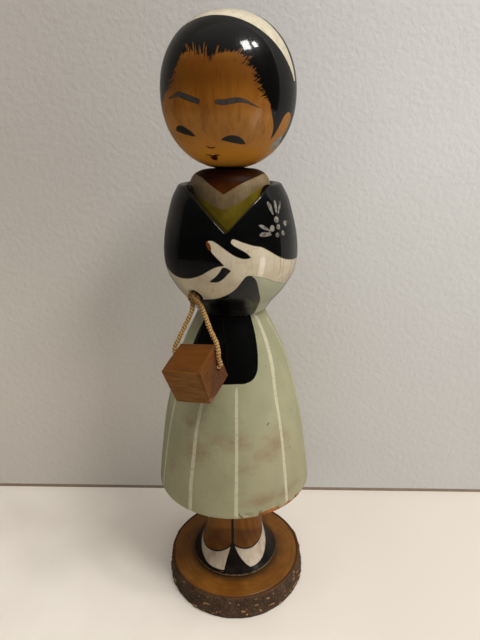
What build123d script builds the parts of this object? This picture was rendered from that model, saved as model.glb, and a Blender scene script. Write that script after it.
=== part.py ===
from build123d import *
import os

# Kokeshi doll, turned and hollowed from wood, standing on a slice of branch with its bark on.
# Millimetres. +Z is up, the face and the open collar look along -Y, and the origin is the
# centre of the underside of the branch slice.

# Branch slice
BASE_H = 10.8
DISC_R = 31.3
BARK_GAP = 0.02
BARK_FOOT_R = (34.2, 33.8, 34.0, 34.3, 33.7, 33.3, 33.1, 33.6, 34.1, 33.9)
BARK_TOP_R = (32.9, 32.5, 32.8, 32.9, 32.4, 32.3, 32.1, 32.4, 32.8, 32.6)

# End tangents on every spline are taken at the spline's own chord speed
CHORD_SPEED = (1, 1)

# Clearances, and the edge broken on the end of every dowel
GLUE_GAP = 0.05
RUN_GAP = 0.05
DOWEL_CHAMFER = 0.6

# Feet and legs, one turning with its own tenon on top
FOOT_UNDER_R = 19.4
FOOT_EDGE = (20.3, 11.6)
FOOT_RING = (20.5, 12.7)
SHOE_SIDE = ((17.0, 18.4), (14.3, 25.0), (13.1, 32.0))
STEM_R = 12.9
STEM_BOTTOM = 44.0
STEM_TOP = 62.0
LEG_TENON_R = 8.0
LEG_TENON_TOP = 82.0
FOOT_DOWEL_R = 4.0
FOOT_DOWEL_BOTTOM = 3.0
FOOT_DOWEL_TOP = 24.0
BORE_END_GAP = 0.5

# Skirt
HEM_Z = 57.5
HEM_R = 35.2
HEM_FLAT = 1.4
SKIRT_SIDE = (
    (34.3, 66.0),
    (33.0, 75.6),
    (30.7, 90.6),
    (27.2, 105.6),
    (23.9, 117.6),
    (19.9, 127.6),
    (15.8, 136.0),
)
UNDERSIDE_ARC = (26.0, 60.6)
STEM_SEAT_R = STEM_R + 1.2
WAIST_Z = 140.5
SKIRT_TOP_R = 13.8
WAIST_DOWEL_R = 5.0
WAIST_DOWEL_BOTTOM = 120.0
WAIST_DOWEL_TOP = 157.0

# Coat, turned as a bowl with a notch sawn in the front of its rim
COAT_GAP = 0.02
COAT_BOTTOM_R = 15.2
COAT_SIDE = (
    (18.0, 144.6),
    (20.8, 147.7),
    (23.7, 151.8),
    (26.4, 157.2),
    (27.4, 163.0),
    (26.9, 171.0),
    (25.2, 179.0),
    (23.0, 186.2),
)
LIP_OUT = (20.9, 190.2)
LIP_TOP = (19.1, 191.4)
LIP_IN = (17.3, 190.6)
RECESS_R = 17.0
RECESS_FLOOR = 172.0
RECESS_TOP = 189.6
NOTCH_TIP_Z = 175.6
NOTCH_TOP_Z = 195.0
NOTCH_RUN_PER_RISE = 0.96
NOTCH_BACK_Y = -10.0
NOTCH_FRONT_Y = -32.0

# Collar, a domed plug glued in the bowl
COLLAR_R = 16.0
COLLAR_SIDE = ((15.2, 193.2), (12.6, 195.7), (9.0, 196.75))
COLLAR_TOP_Z = 196.95
COLLAR_TOP_R = 5.6
COLLAR_TENON_R = 6.0
COLLAR_TENON_BOTTOM = 162.0

# Neck dowel, glued in the collar and running in the head
NECK_R = 3.5
NECK_BOTTOM = 180.0
NECK_TOP = 215.0

# Head
HEAD_R = 25.45
HEAD_HALF_H = 27.1
HEAD_Z = 223.7
HEAD_SEAT_Z = 197.0
HEAD_SHAPE = 0.94
HEAD_SHAPE_STEP = 30

# Handbag: a square block hung on a cord through its upper part
BAG_SIDE = 15.8
BAG_CENTRE = Vector(-11.7, -33.2, 123.8)
BAG_YAW = -24.0
BAG_TILT = 8.4
BAG_LEAN = 21.0
BAG_BORE_UP = 4.0
BAG_EDGE = 0.5
CORD_R = 0.95
BAG_BORE_R = CORD_R + RUN_GAP

# Where the cord leaves the coat
CORD_EXIT = Vector(-13.1, -19.2, 149.4)
CORD_HOLE_AZIMUTH = 20.0
PLUG_R = 2.6
PLUG_HOLE_R = PLUG_R + RUN_GAP
PLUG_FACE_BACK = 0.8
PLUG_LENGTH = 7.5
PLUG_HOLE_DEPTH = 8.8
HOLE_MOUTH_R = 3.4
KNOT_R = 2.1
SOCKET_R = KNOT_R + RUN_GAP
BEND_R = 2.4
LEFT_STRAND_MID = (-16.8, -22.6, 139.0)
RIGHT_STRAND_MID = (-5.5, -26.1, 139.5)
STRAND_SPLIT = 1.0
KNOT_TURN = 90
SIN_45 = 0.5**0.5

os.makedirs("parts", exist_ok=True)

# ---- branch slice ----
with BuildPart() as base_disc:
    with BuildSketch(Plane.XY):
        Circle(DISC_R)
    extrude(amount=BASE_H)
    with BuildSketch(Plane.XY.offset(BASE_H)):
        Circle(FOOT_DOWEL_R + GLUE_GAP)
    extrude(amount=-(BASE_H - FOOT_DOWEL_BOTTOM + BORE_END_GAP), mode=Mode.SUBTRACT)
base_disc.part.label = "base_disc"

with BuildPart() as base_bark:
    with BuildSketch(Plane.XY):
        with BuildLine():
            foot_points = []
            for i, radius in enumerate(BARK_FOOT_R):
                foot_points.append(Vector(radius, 0).rotate(Axis.Z, i * 360 / len(BARK_FOOT_R)))
            Spline(*foot_points, periodic=True)
        make_face()
    with BuildSketch(Plane.XY.offset(BASE_H)):
        with BuildLine():
            top_points = []
            for i, radius in enumerate(BARK_TOP_R):
                top_points.append(Vector(radius, 0).rotate(Axis.Z, i * 360 / len(BARK_TOP_R)))
            Spline(*top_points, periodic=True)
        make_face()
    loft()
    with BuildSketch(Plane.XY):
        Circle(DISC_R + BARK_GAP)
    extrude(amount=BASE_H, mode=Mode.SUBTRACT)
base_bark.part.label = "base_bark"

with BuildPart() as foot_dowel:
    with BuildSketch(Plane.XY.offset(FOOT_DOWEL_BOTTOM)):
        Circle(FOOT_DOWEL_R)
    extrude(amount=FOOT_DOWEL_TOP - FOOT_DOWEL_BOTTOM)
    chamfer(foot_dowel.edges().filter_by(GeomType.CIRCLE), DOWEL_CHAMFER)
foot_dowel.part.label = "foot_dowel"

# ---- feet and legs ----
with BuildPart() as legs:
    with BuildSketch(Plane.XZ):
        with BuildLine():
            Line((0, BASE_H), (FOOT_UNDER_R, BASE_H))
            ThreePointArc((FOOT_UNDER_R, BASE_H), FOOT_EDGE, FOOT_RING)
            Spline(
                FOOT_RING,
                *SHOE_SIDE,
                (STEM_R, STEM_BOTTOM),
                tangents=((-0.45, 0.9), (0, 1)),
                tangent_scalars=CHORD_SPEED,
            )
            Line((STEM_R, STEM_BOTTOM), (STEM_R, STEM_TOP))
            Line((STEM_R, STEM_TOP), (LEG_TENON_R, STEM_TOP))
            Line((LEG_TENON_R, STEM_TOP), (LEG_TENON_R, LEG_TENON_TOP))
            Line((LEG_TENON_R, LEG_TENON_TOP), (0, LEG_TENON_TOP))
            Line((0, LEG_TENON_TOP), (0, BASE_H))
        make_face()
    revolve(axis=Axis.Z)
    with BuildSketch(Plane.XY.offset(BASE_H)):
        Circle(FOOT_DOWEL_R + GLUE_GAP)
    extrude(amount=FOOT_DOWEL_TOP + BORE_END_GAP - BASE_H, mode=Mode.SUBTRACT)
legs.part.label = "legs"

# ---- skirt ----
with BuildPart() as skirt:
    with BuildSketch(Plane.XZ):
        with BuildLine():
            Spline(
                (HEM_R, HEM_Z),
                *SKIRT_SIDE,
                (SKIRT_TOP_R, WAIST_Z),
            )
            Line((SKIRT_TOP_R, WAIST_Z), (0, WAIST_Z))
            Line((0, WAIST_Z), (0, STEM_TOP))
            Line((0, STEM_TOP), (STEM_SEAT_R, STEM_TOP))
            ThreePointArc((STEM_SEAT_R, STEM_TOP), UNDERSIDE_ARC, (HEM_R - HEM_FLAT, HEM_Z))
            Line((HEM_R - HEM_FLAT, HEM_Z), (HEM_R, HEM_Z))
        make_face()
    revolve(axis=Axis.Z)
    with BuildSketch(Plane.XY.offset(STEM_TOP)):
        Circle(LEG_TENON_R + GLUE_GAP)
    extrude(amount=LEG_TENON_TOP + BORE_END_GAP - STEM_TOP, mode=Mode.SUBTRACT)
    with BuildSketch(Plane.XY.offset(WAIST_DOWEL_BOTTOM - BORE_END_GAP)):
        Circle(WAIST_DOWEL_R + GLUE_GAP)
    extrude(amount=WAIST_Z - WAIST_DOWEL_BOTTOM + BORE_END_GAP, mode=Mode.SUBTRACT)
skirt.part.label = "skirt"

with BuildPart() as waist_dowel:
    with BuildSketch(Plane.XY.offset(WAIST_DOWEL_BOTTOM)):
        Circle(WAIST_DOWEL_R)
    extrude(amount=WAIST_DOWEL_TOP - WAIST_DOWEL_BOTTOM)
    chamfer(waist_dowel.edges().filter_by(GeomType.CIRCLE), DOWEL_CHAMFER)
waist_dowel.part.label = "waist_dowel"

# ---- coat ----
hole_out = Vector(0, -1, 0).rotate(Axis.Z, -CORD_HOLE_AZIMUTH)
plug_plane = Plane(origin=CORD_EXIT, x_dir=(0, 0, 1), z_dir=hole_out)
coat_bottom_z = WAIST_Z + COAT_GAP

with BuildPart() as coat:
    with BuildSketch(Plane.XZ):
        with BuildLine():
            Line((0, coat_bottom_z), (COAT_BOTTOM_R, coat_bottom_z))
            Spline(
                (COAT_BOTTOM_R, coat_bottom_z),
                *COAT_SIDE,
                LIP_OUT,
                tangents=((0.4, 0.92), (-0.6, 0.8)),
                tangent_scalars=CHORD_SPEED,
            )
            ThreePointArc(LIP_OUT, LIP_TOP, LIP_IN)
            Line(LIP_IN, (RECESS_R, RECESS_TOP))
            Line((RECESS_R, RECESS_TOP), (RECESS_R, RECESS_FLOOR))
            Line((RECESS_R, RECESS_FLOOR), (0, RECESS_FLOOR))
            Line((0, RECESS_FLOOR), (0, coat_bottom_z))
        make_face()
    revolve(axis=Axis.Z)
    with BuildSketch(Plane.XZ.offset(-NOTCH_BACK_Y)):
        with BuildLine():
            half_run = (NOTCH_TOP_Z - NOTCH_TIP_Z) * NOTCH_RUN_PER_RISE
            Polyline(
                (0, NOTCH_TIP_Z),
                (half_run, NOTCH_TOP_Z),
                (-half_run, NOTCH_TOP_Z),
                close=True,
            )
        make_face()
    extrude(amount=NOTCH_BACK_Y - NOTCH_FRONT_Y, mode=Mode.SUBTRACT)
    with BuildSketch(Plane.XY.offset(coat_bottom_z)):
        Circle(WAIST_DOWEL_R + GLUE_GAP)
    extrude(amount=WAIST_DOWEL_TOP + BORE_END_GAP - coat_bottom_z, mode=Mode.SUBTRACT)
    with BuildSketch(Plane.XY.offset(COLLAR_TENON_BOTTOM - BORE_END_GAP)):
        Circle(COLLAR_TENON_R + GLUE_GAP)
    extrude(amount=RECESS_FLOOR - COLLAR_TENON_BOTTOM + BORE_END_GAP, mode=Mode.SUBTRACT)
    with BuildSketch(plug_plane.offset(COAT_BOTTOM_R)):
        Circle(PLUG_HOLE_R)
    extrude(amount=-(COAT_BOTTOM_R + PLUG_HOLE_DEPTH), mode=Mode.SUBTRACT)
    with Locations(CORD_EXIT):
        Sphere(HOLE_MOUTH_R, mode=Mode.SUBTRACT)
coat.part.label = "coat"

# ---- collar and neck ----
with BuildPart() as collar:
    with BuildSketch(Plane.XZ):
        with BuildLine():
            Line((0, COLLAR_TENON_BOTTOM), (COLLAR_TENON_R, COLLAR_TENON_BOTTOM))
            Line((COLLAR_TENON_R, COLLAR_TENON_BOTTOM), (COLLAR_TENON_R, RECESS_FLOOR))
            Line((COLLAR_TENON_R, RECESS_FLOOR), (COLLAR_R, RECESS_FLOOR))
            Line((COLLAR_R, RECESS_FLOOR), (COLLAR_R, RECESS_TOP))
            Spline(
                (COLLAR_R, RECESS_TOP),
                *COLLAR_SIDE,
                (COLLAR_TOP_R, COLLAR_TOP_Z),
                tangents=((0, 1), (-1, 0)),
                tangent_scalars=CHORD_SPEED,
            )
            Line((COLLAR_TOP_R, COLLAR_TOP_Z), (0, COLLAR_TOP_Z))
            Line((0, COLLAR_TOP_Z), (0, COLLAR_TENON_BOTTOM))
        make_face()
    revolve(axis=Axis.Z)
    with BuildSketch(Plane.XY.offset(NECK_BOTTOM - BORE_END_GAP)):
        Circle(NECK_R + GLUE_GAP)
    extrude(amount=COLLAR_TOP_Z - NECK_BOTTOM + BORE_END_GAP, mode=Mode.SUBTRACT)
collar.part.label = "collar"

with BuildPart() as neck_dowel:
    with BuildSketch(Plane.XY.offset(NECK_BOTTOM)):
        Circle(NECK_R)
    extrude(amount=NECK_TOP - NECK_BOTTOM)
    chamfer(neck_dowel.edges().filter_by(GeomType.CIRCLE), DOWEL_CHAMFER)
neck_dowel.part.label = "neck_dowel"

# ---- head ----
with BuildPart() as head:
    with BuildSketch(Plane.XZ):
        with BuildLine():
            side_points = []
            for angle in range(HEAD_SHAPE_STEP - 90, 90, HEAD_SHAPE_STEP):
                unit = Vector(1, 0).rotate(Axis.Z, angle)
                reach = abs(unit.X) ** HEAD_SHAPE
                rise = abs(unit.Y) ** HEAD_SHAPE * (1 if angle > 0 else -1)
                side_points.append((HEAD_R * reach, HEAD_Z + HEAD_HALF_H * rise))
            Spline(
                (0, HEAD_Z - HEAD_HALF_H),
                *side_points,
                (0, HEAD_Z + HEAD_HALF_H),
                tangents=((1, 0), (-1, 0)),
                tangent_scalars=CHORD_SPEED,
            )
            Line((0, HEAD_Z + HEAD_HALF_H), (0, HEAD_Z - HEAD_HALF_H))
        make_face()
    revolve(axis=Axis.Z)
    with BuildSketch(Plane.XY.offset(HEAD_SEAT_Z)):
        Circle(HEAD_R)
    extrude(amount=-HEAD_HALF_H, mode=Mode.SUBTRACT)
    with BuildSketch(Plane.XY.offset(HEAD_SEAT_Z)):
        Circle(NECK_R + RUN_GAP)
    extrude(amount=NECK_TOP + BORE_END_GAP - HEAD_SEAT_Z, mode=Mode.SUBTRACT)
head.part.label = "head"

# ---- cord plug ----
with BuildPart() as cord_plug:
    with BuildSketch(plug_plane.offset(-PLUG_FACE_BACK)):
        Circle(PLUG_R)
    extrude(amount=-PLUG_LENGTH)
    with Locations(CORD_EXIT):
        Sphere(SOCKET_R, mode=Mode.SUBTRACT)
cord_plug.part.label = "cord_plug"

# ---- handbag and cord ----
bag_axis = Vector(1, 0, 0).rotate(Axis.Y, -BAG_TILT).rotate(Axis.Z, BAG_YAW)
bag_top = Vector(0, 1, 0).rotate(Axis.X, BAG_LEAN).rotate(Axis.Y, -BAG_TILT).rotate(Axis.Z, BAG_YAW)
bag_plane = Plane(origin=BAG_CENTRE, x_dir=bag_axis, z_dir=bag_top)
bore_centre = BAG_CENTRE + bag_top * BAG_BORE_UP
bore_left = bore_centre - bag_axis * (BAG_SIDE / 2)
bore_right = bore_centre + bag_axis * (BAG_SIDE / 2)

with BuildPart() as bag_block:
    with BuildSketch(bag_plane.offset(-BAG_SIDE / 2)):
        Rectangle(BAG_SIDE, BAG_SIDE)
    extrude(amount=BAG_SIDE)
    fillet(bag_block.edges(), BAG_EDGE)
    with BuildSketch(Plane(origin=bore_left, z_dir=bag_axis)):
        Circle(BAG_BORE_R)
    extrude(amount=BAG_SIDE, mode=Mode.SUBTRACT)
bag_block.part.label = "bag_block"

# The strands part inside the knot, and each bends into the bore just outside the block's end
strand_side = Vector(1, 0, 0).rotate(Axis.Z, -CORD_HOLE_AZIMUTH) * STRAND_SPLIT
left_start = CORD_EXIT - strand_side
right_start = CORD_EXIT + strand_side
left_rise = (CORD_EXIT - bore_left) - bag_axis * (CORD_EXIT - bore_left).dot(bag_axis)
right_rise = (CORD_EXIT - bore_right) - bag_axis * (CORD_EXIT - bore_right).dot(bag_axis)
left_up = left_rise.normalized() * BEND_R
right_up = right_rise.normalized() * BEND_R
bend_out = bag_axis * BEND_R

with BuildPart() as cord:
    with BuildLine() as cord_path:
        Spline(
            left_start,
            LEFT_STRAND_MID,
            bore_left - bend_out + left_up,
            tangents=((-0.2, -0.3, -0.93), left_up.normalized() * -1),
            tangent_scalars=CHORD_SPEED,
        )
        ThreePointArc(
            bore_left - bend_out + left_up,
            bore_left + left_up - (left_up + bend_out) * SIN_45,
            bore_left,
        )
        Line(bore_left, bore_right)
        ThreePointArc(
            bore_right,
            bore_right + right_up - (right_up - bend_out) * SIN_45,
            bore_right + bend_out + right_up,
        )
        Spline(
            bore_right + bend_out + right_up,
            RIGHT_STRAND_MID,
            right_start,
            tangents=(right_up.normalized(), (-0.4, 0.62, 0.68)),
            tangent_scalars=CHORD_SPEED,
        )
    with BuildSketch(Plane(origin=cord_path.line @ 0, z_dir=cord_path.line % 0)):
        Circle(CORD_R)
    sweep(path=cord_path.line)
    with Locations(CORD_EXIT):
        Sphere(KNOT_R, rotation=(0, 0, KNOT_TURN))
cord.part.label = "cord"

export_step(base_disc.part, "parts/base_disc.step")
export_step(base_bark.part, "parts/base_bark.step")
export_step(foot_dowel.part, "parts/foot_dowel.step")
export_step(legs.part, "parts/legs.step")
export_step(skirt.part, "parts/skirt.step")
export_step(waist_dowel.part, "parts/waist_dowel.step")
export_step(coat.part, "parts/coat.step")
export_step(collar.part, "parts/collar.step")
export_step(neck_dowel.part, "parts/neck_dowel.step")
export_step(head.part, "parts/head.step")
export_step(cord_plug.part, "parts/cord_plug.step")
export_step(cord.part, "parts/cord.step")
export_step(bag_block.part, "parts/bag_block.step")
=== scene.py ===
import math

import bpy
import numpy as np
from mathutils import Matrix, Vector


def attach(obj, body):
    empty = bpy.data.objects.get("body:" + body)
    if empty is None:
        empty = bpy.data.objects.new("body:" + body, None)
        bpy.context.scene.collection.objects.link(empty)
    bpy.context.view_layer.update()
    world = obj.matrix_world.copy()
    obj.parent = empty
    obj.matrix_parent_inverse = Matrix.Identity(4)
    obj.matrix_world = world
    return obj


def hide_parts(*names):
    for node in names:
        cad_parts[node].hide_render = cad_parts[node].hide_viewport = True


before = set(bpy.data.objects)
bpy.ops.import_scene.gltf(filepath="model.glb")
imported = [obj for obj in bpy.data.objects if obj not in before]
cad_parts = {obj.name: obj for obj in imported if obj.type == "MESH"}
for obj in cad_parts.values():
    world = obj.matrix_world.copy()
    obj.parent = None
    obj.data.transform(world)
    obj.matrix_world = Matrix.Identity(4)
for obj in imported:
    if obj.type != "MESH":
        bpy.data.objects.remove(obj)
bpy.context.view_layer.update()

# Kokeshi doll. Shape and paint numbers are millimetres and degrees, and meshes are written in metres. The
# room, lamps and camera at the end are in metres. Azimuth is measured round +Z from the front (-Y) to +X.
MM = 0.001
rng = np.random.default_rng(11)

BASE_H = 10.8
DISC_R = 31.3
HEAD_R = 25.45
HEAD_HALF_H = 27.1
HEAD_Z = 223.7
HEAD_SEAT_Z = 197.0
WAIST_Z = 140.5
LEG_R = 12.9
TENON_R = 8.0
FOOT_HOLE_R = 4.05
WAIST_HOLE_R = 5.05
NECK_HOLE_R = 6.05
HEAD_HOLE_R = 3.55
CORD_R = 0.95
# Turned pieces are closed this near to their axis.
AXIS_R = 0.05


# -------- curves

def smooth(points, per=12, closed=False):
    """Centripetal Catmull-Rom curve through the points."""
    p = np.asarray(points, float)
    if len(p) == 2:
        return np.linspace(p[0], p[1], per + 1)
    if closed:
        p = np.vstack([p[-1:], p, p[:2]])
    else:
        p = np.vstack([2 * p[:1] - p[1:2], p, 2 * p[-1:] - p[-2:-1]])
    t = np.linspace(0, 1, per, endpoint=False)[:, None]
    out = []
    for p0, p1, p2, p3 in zip(p, p[1:], p[2:], p[3:]):
        a = max(np.linalg.norm(p1 - p0), 1e-6) ** 0.5
        b = max(np.linalg.norm(p2 - p1), 1e-6) ** 0.5
        c = max(np.linalg.norm(p3 - p2), 1e-6) ** 0.5
        m1 = (p2 - p1) + b * ((p1 - p0) / a - (p2 - p0) / (a + b))
        m2 = (p2 - p1) + b * ((p3 - p2) / c - (p3 - p1) / (b + c))
        out.append(
            (2 * t**3 - 3 * t**2 + 1) * p1
            + (t**3 - 2 * t**2 + t) * m1
            + (-2 * t**3 + 3 * t**2) * p2
            + (t**3 - t**2) * m2
        )
    if not closed:
        out.append(p[-2:-1])
    return np.vstack(out)


def curve(points, closed=False):
    """Smooth curve broken at corners: a None after a point makes that point a corner."""
    pieces, piece = [], []
    for p in points:
        if p is None:
            pieces.append(piece)
            piece = [piece[-1]]
        else:
            piece.append(p)
    if closed and not pieces:
        return smooth(piece, closed=True)
    if closed:
        pieces[0] = piece + pieces[0][1:] if piece[-1] == pieces[0][0] else piece + pieces[0]
    else:
        pieces.append(piece)
    return np.vstack([smooth(q) for q in pieces if len(q) > 1])


def resample(path, count):
    step = np.r_[0, np.cumsum(np.linalg.norm(np.diff(path, axis=0), axis=1))]
    at = np.linspace(0, step[-1], count)
    return np.column_stack([np.interp(at, step, path[:, k]) for k in range(path.shape[1])])


def soft_min(a, b, width):
    """Smaller of the two, rounded over where they are within width of each other."""
    h = np.clip(0.5 + 0.5 * (b - a) / width, 0, 1)
    return b * (1 - h) + a * h - width * h * (1 - h)


def fade(x, low, high):
    t = np.clip((x - low) / (high - low), 0, 1)
    return t * t * (3 - 2 * t)


# -------- smooth noise on vertices

LATTICE_SIDE = 32
LATTICE = rng.random((LATTICE_SIDE, LATTICE_SIDE, LATTICE_SIDE))


def grain(points, size):
    """Value noise from 0 to 1 with features of about the given size."""
    q = np.asarray(points) / size
    i = np.floor(q).astype(int)
    f = q - i
    f = f * f * (3 - 2 * f)
    total = 0
    for corner in np.ndindex(2, 2, 2):
        share = np.where(corner, f, 1 - f).prod(-1)
        cell = (i + corner) % LATTICE_SIDE
        total = total + share * LATTICE[cell[..., 0], cell[..., 1], cell[..., 2]]
    return total


def along_line(x):
    """The same noise with one feature per unit of x."""
    return grain(np.stack([x, x * 0, x * 0], -1), 1.0)


# -------- meshes

def place(name, data):
    obj = bpy.data.objects.new(name, data)
    bpy.context.scene.collection.objects.link(obj)
    return obj


def complete(mesh, layers):
    """Adds a number per vertex for each layer, and smooth shading."""
    for key, values in layers.items():
        layer = mesh.attributes.new(key, "FLOAT", "POINT")
        layer.data.foreach_set("value", np.asarray(values, np.float32).ravel())
    mesh.polygons.foreach_set("use_smooth", np.ones(len(mesh.polygons), bool))
    mesh.update()


def make_object(name, verts_mm, faces, layers):
    mesh = bpy.data.meshes.new(name)
    mesh.from_pydata((np.asarray(verts_mm) * MM).tolist(), [], faces)
    complete(mesh, layers)
    return place(name, mesh)


def grid_faces(rows, cols, wrap=True):
    r = np.arange(rows - 1)[:, None] * cols
    c = np.arange(cols if wrap else cols - 1)[None]
    n = (c + 1) % cols
    quads = np.stack([r + c, r + n, r + cols + n, r + cols + c], -1)
    return quads.reshape(-1, 4).tolist()


# Paint distances are not followed further than this.
FAR = 4.0
FRONT_COLUMNS = 300
BACK_COLUMNS = 96
FRONT_SPAN = 106.0
AZIMUTHS = np.r_[
    np.linspace(-FRONT_SPAN, FRONT_SPAN, FRONT_COLUMNS, endpoint=False),
    np.linspace(FRONT_SPAN, 360 - FRONT_SPAN, BACK_COLUMNS, endpoint=False),
]


class Turned:
    """A turned piece: an outline swept round +Z, and the paint distances on its skin.

    Each span is (rows, point, point ...) and goes on from the end of the one before it. painted: the first
    span that takes paint, and the one after the last.
    """

    def __init__(self, name, start, spans, shape=None, painted=(0, None), latitude_from=None):
        rows = []
        for count, *points in spans:
            rows.append(resample(curve([start, *points]), count)[:-1])
            start = points[-1]
        outline = np.vstack([*rows, [start]])
        self.name = name
        self.rows, self.cols = len(outline), len(AZIMUTHS)
        self.az = np.repeat(((AZIMUTHS + 180) % 360 - 180)[None], self.rows, 0)
        self.r = np.repeat(outline[:, :1], self.cols, 1)
        self.z = np.repeat(outline[:, 1:], self.cols, 1)
        first = sum(span[0] - 1 for span in spans[: painted[0]])
        last = sum(span[0] - 1 for span in spans[: painted[1]]) + 1
        self.skin = np.zeros((self.rows, self.cols), bool)
        self.skin[first:last] = True
        self.track = outline[first:last]
        self.latitude_from = latitude_from
        self.h = self.z if latitude_from is None else self.latitude(self.r, self.z)
        if shape:
            self.r, self.z = shape(self.r, self.z, self.az)
        a = np.radians(self.az)
        self.xyz = np.stack([self.r * np.sin(a), -self.r * np.cos(a), self.z], -1)
        self.layers = {}

    def latitude(self, r, z):
        return np.degrees(np.arctan2(z - self.latitude_from, np.maximum(r, 1e-6)))

    def on_skin(self, az_h):
        """Points on the surface from azimuth and height (or latitude)."""
        az, h = np.radians(az_h[:, 0]), az_h[:, 1]
        tr, tz = self.track.T
        th = tz if self.latitude_from is None else self.latitude(tr, tz)
        order = np.argsort(th)
        r = np.interp(h, th[order], tr[order])
        z = np.interp(h, th[order], tz[order])
        return np.column_stack([r * np.sin(az), -r * np.cos(az), z])

    def reach(self, line, widths=None):
        """Distance in mm from every skin vertex to a line on the skin, less the line's half width."""
        q = self.on_skin(line)
        w = np.zeros(len(q)) if widths is None else widths
        near = self.skin & np.all((self.xyz > q.min(0) - FAR) & (self.xyz < q.max(0) + FAR), axis=-1)
        p = self.xyz[near]
        best = np.full(len(p), FAR)
        for a, b, wa, wb in zip(q, q[1:], w, w[1:]):
            ab = b - a
            t = np.clip(((p - a) @ ab) / max(ab @ ab, 1e-9), 0, 1)
            d = np.linalg.norm(p - a - t[:, None] * ab, axis=1) - (wa + (wb - wa) * t)
            best = np.minimum(best, d)
        full = np.full(self.xyz.shape[:2], FAR)
        full[near] = best
        return full

    def inside(self, outline):
        px, py = self.az, self.h
        hit = np.zeros(px.shape, bool)
        for (x0, y0), (x1, y1) in zip(outline, np.roll(outline, -1, axis=0)):
            if y0 == y1:
                continue
            cross = (y0 > py) != (y1 > py)
            hit ^= cross & (px < (x1 - x0) * (py - y0) / (y1 - y0) + x0)
        return hit & self.skin

    def area(self, points, rim=None):
        """Signed distance to a closed outline, positive inside. rim: the part of it that is a real edge."""
        outline = curve(points, closed=True)
        edge = np.vstack([outline, outline[:1]]) if rim is None else curve(rim)
        d = self.reach(edge)
        return np.where(self.inside(outline), d, -d)

    def beyond(self, edge, height):
        """Signed distance to a line across the piece, positive on the side of it where the height is."""
        first, last = edge[0], edge[-1]
        closing = [None, (last[0], height), None, (first[0], height), None, first, None]
        return self.area(edge + closing, rim=edge)

    def stroke(self, points):
        """Distance inside a brush stroke given as (azimuth, height, half width) points."""
        line = smooth(points, 8)
        return -self.reach(line[:, :2], line[:, 2])

    def paint(self, key, values):
        if key in self.layers:
            values = np.maximum(self.layers[key], values)
        self.layers[key] = values

    def fill(self, key, *outlines):
        for outline in outlines:
            self.paint(key, self.area(outline))

    def brush(self, key, *strokes):
        for points in strokes:
            self.paint(key, self.stroke(points))

    def dot(self, key, az, h, radius):
        centre = self.on_skin(np.array([[az, h]], float))[0]
        d = radius - np.linalg.norm(self.xyz - centre, axis=-1)
        self.paint(key, np.where(self.skin, np.maximum(d, -FAR), -FAR))

    def build(self):
        faces = grid_faces(self.rows, self.cols)
        return make_object(self.name, self.xyz.reshape(-1, 3), faces, self.layers)


# -------- shader helper

def rgb(r, g, b):
    def linear(v):
        v /= 255
        return v / 12.92 if v <= 0.04045 else ((v + 0.055) / 1.055) ** 2.4

    return (linear(r), linear(g), linear(b), 1.0)


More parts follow.
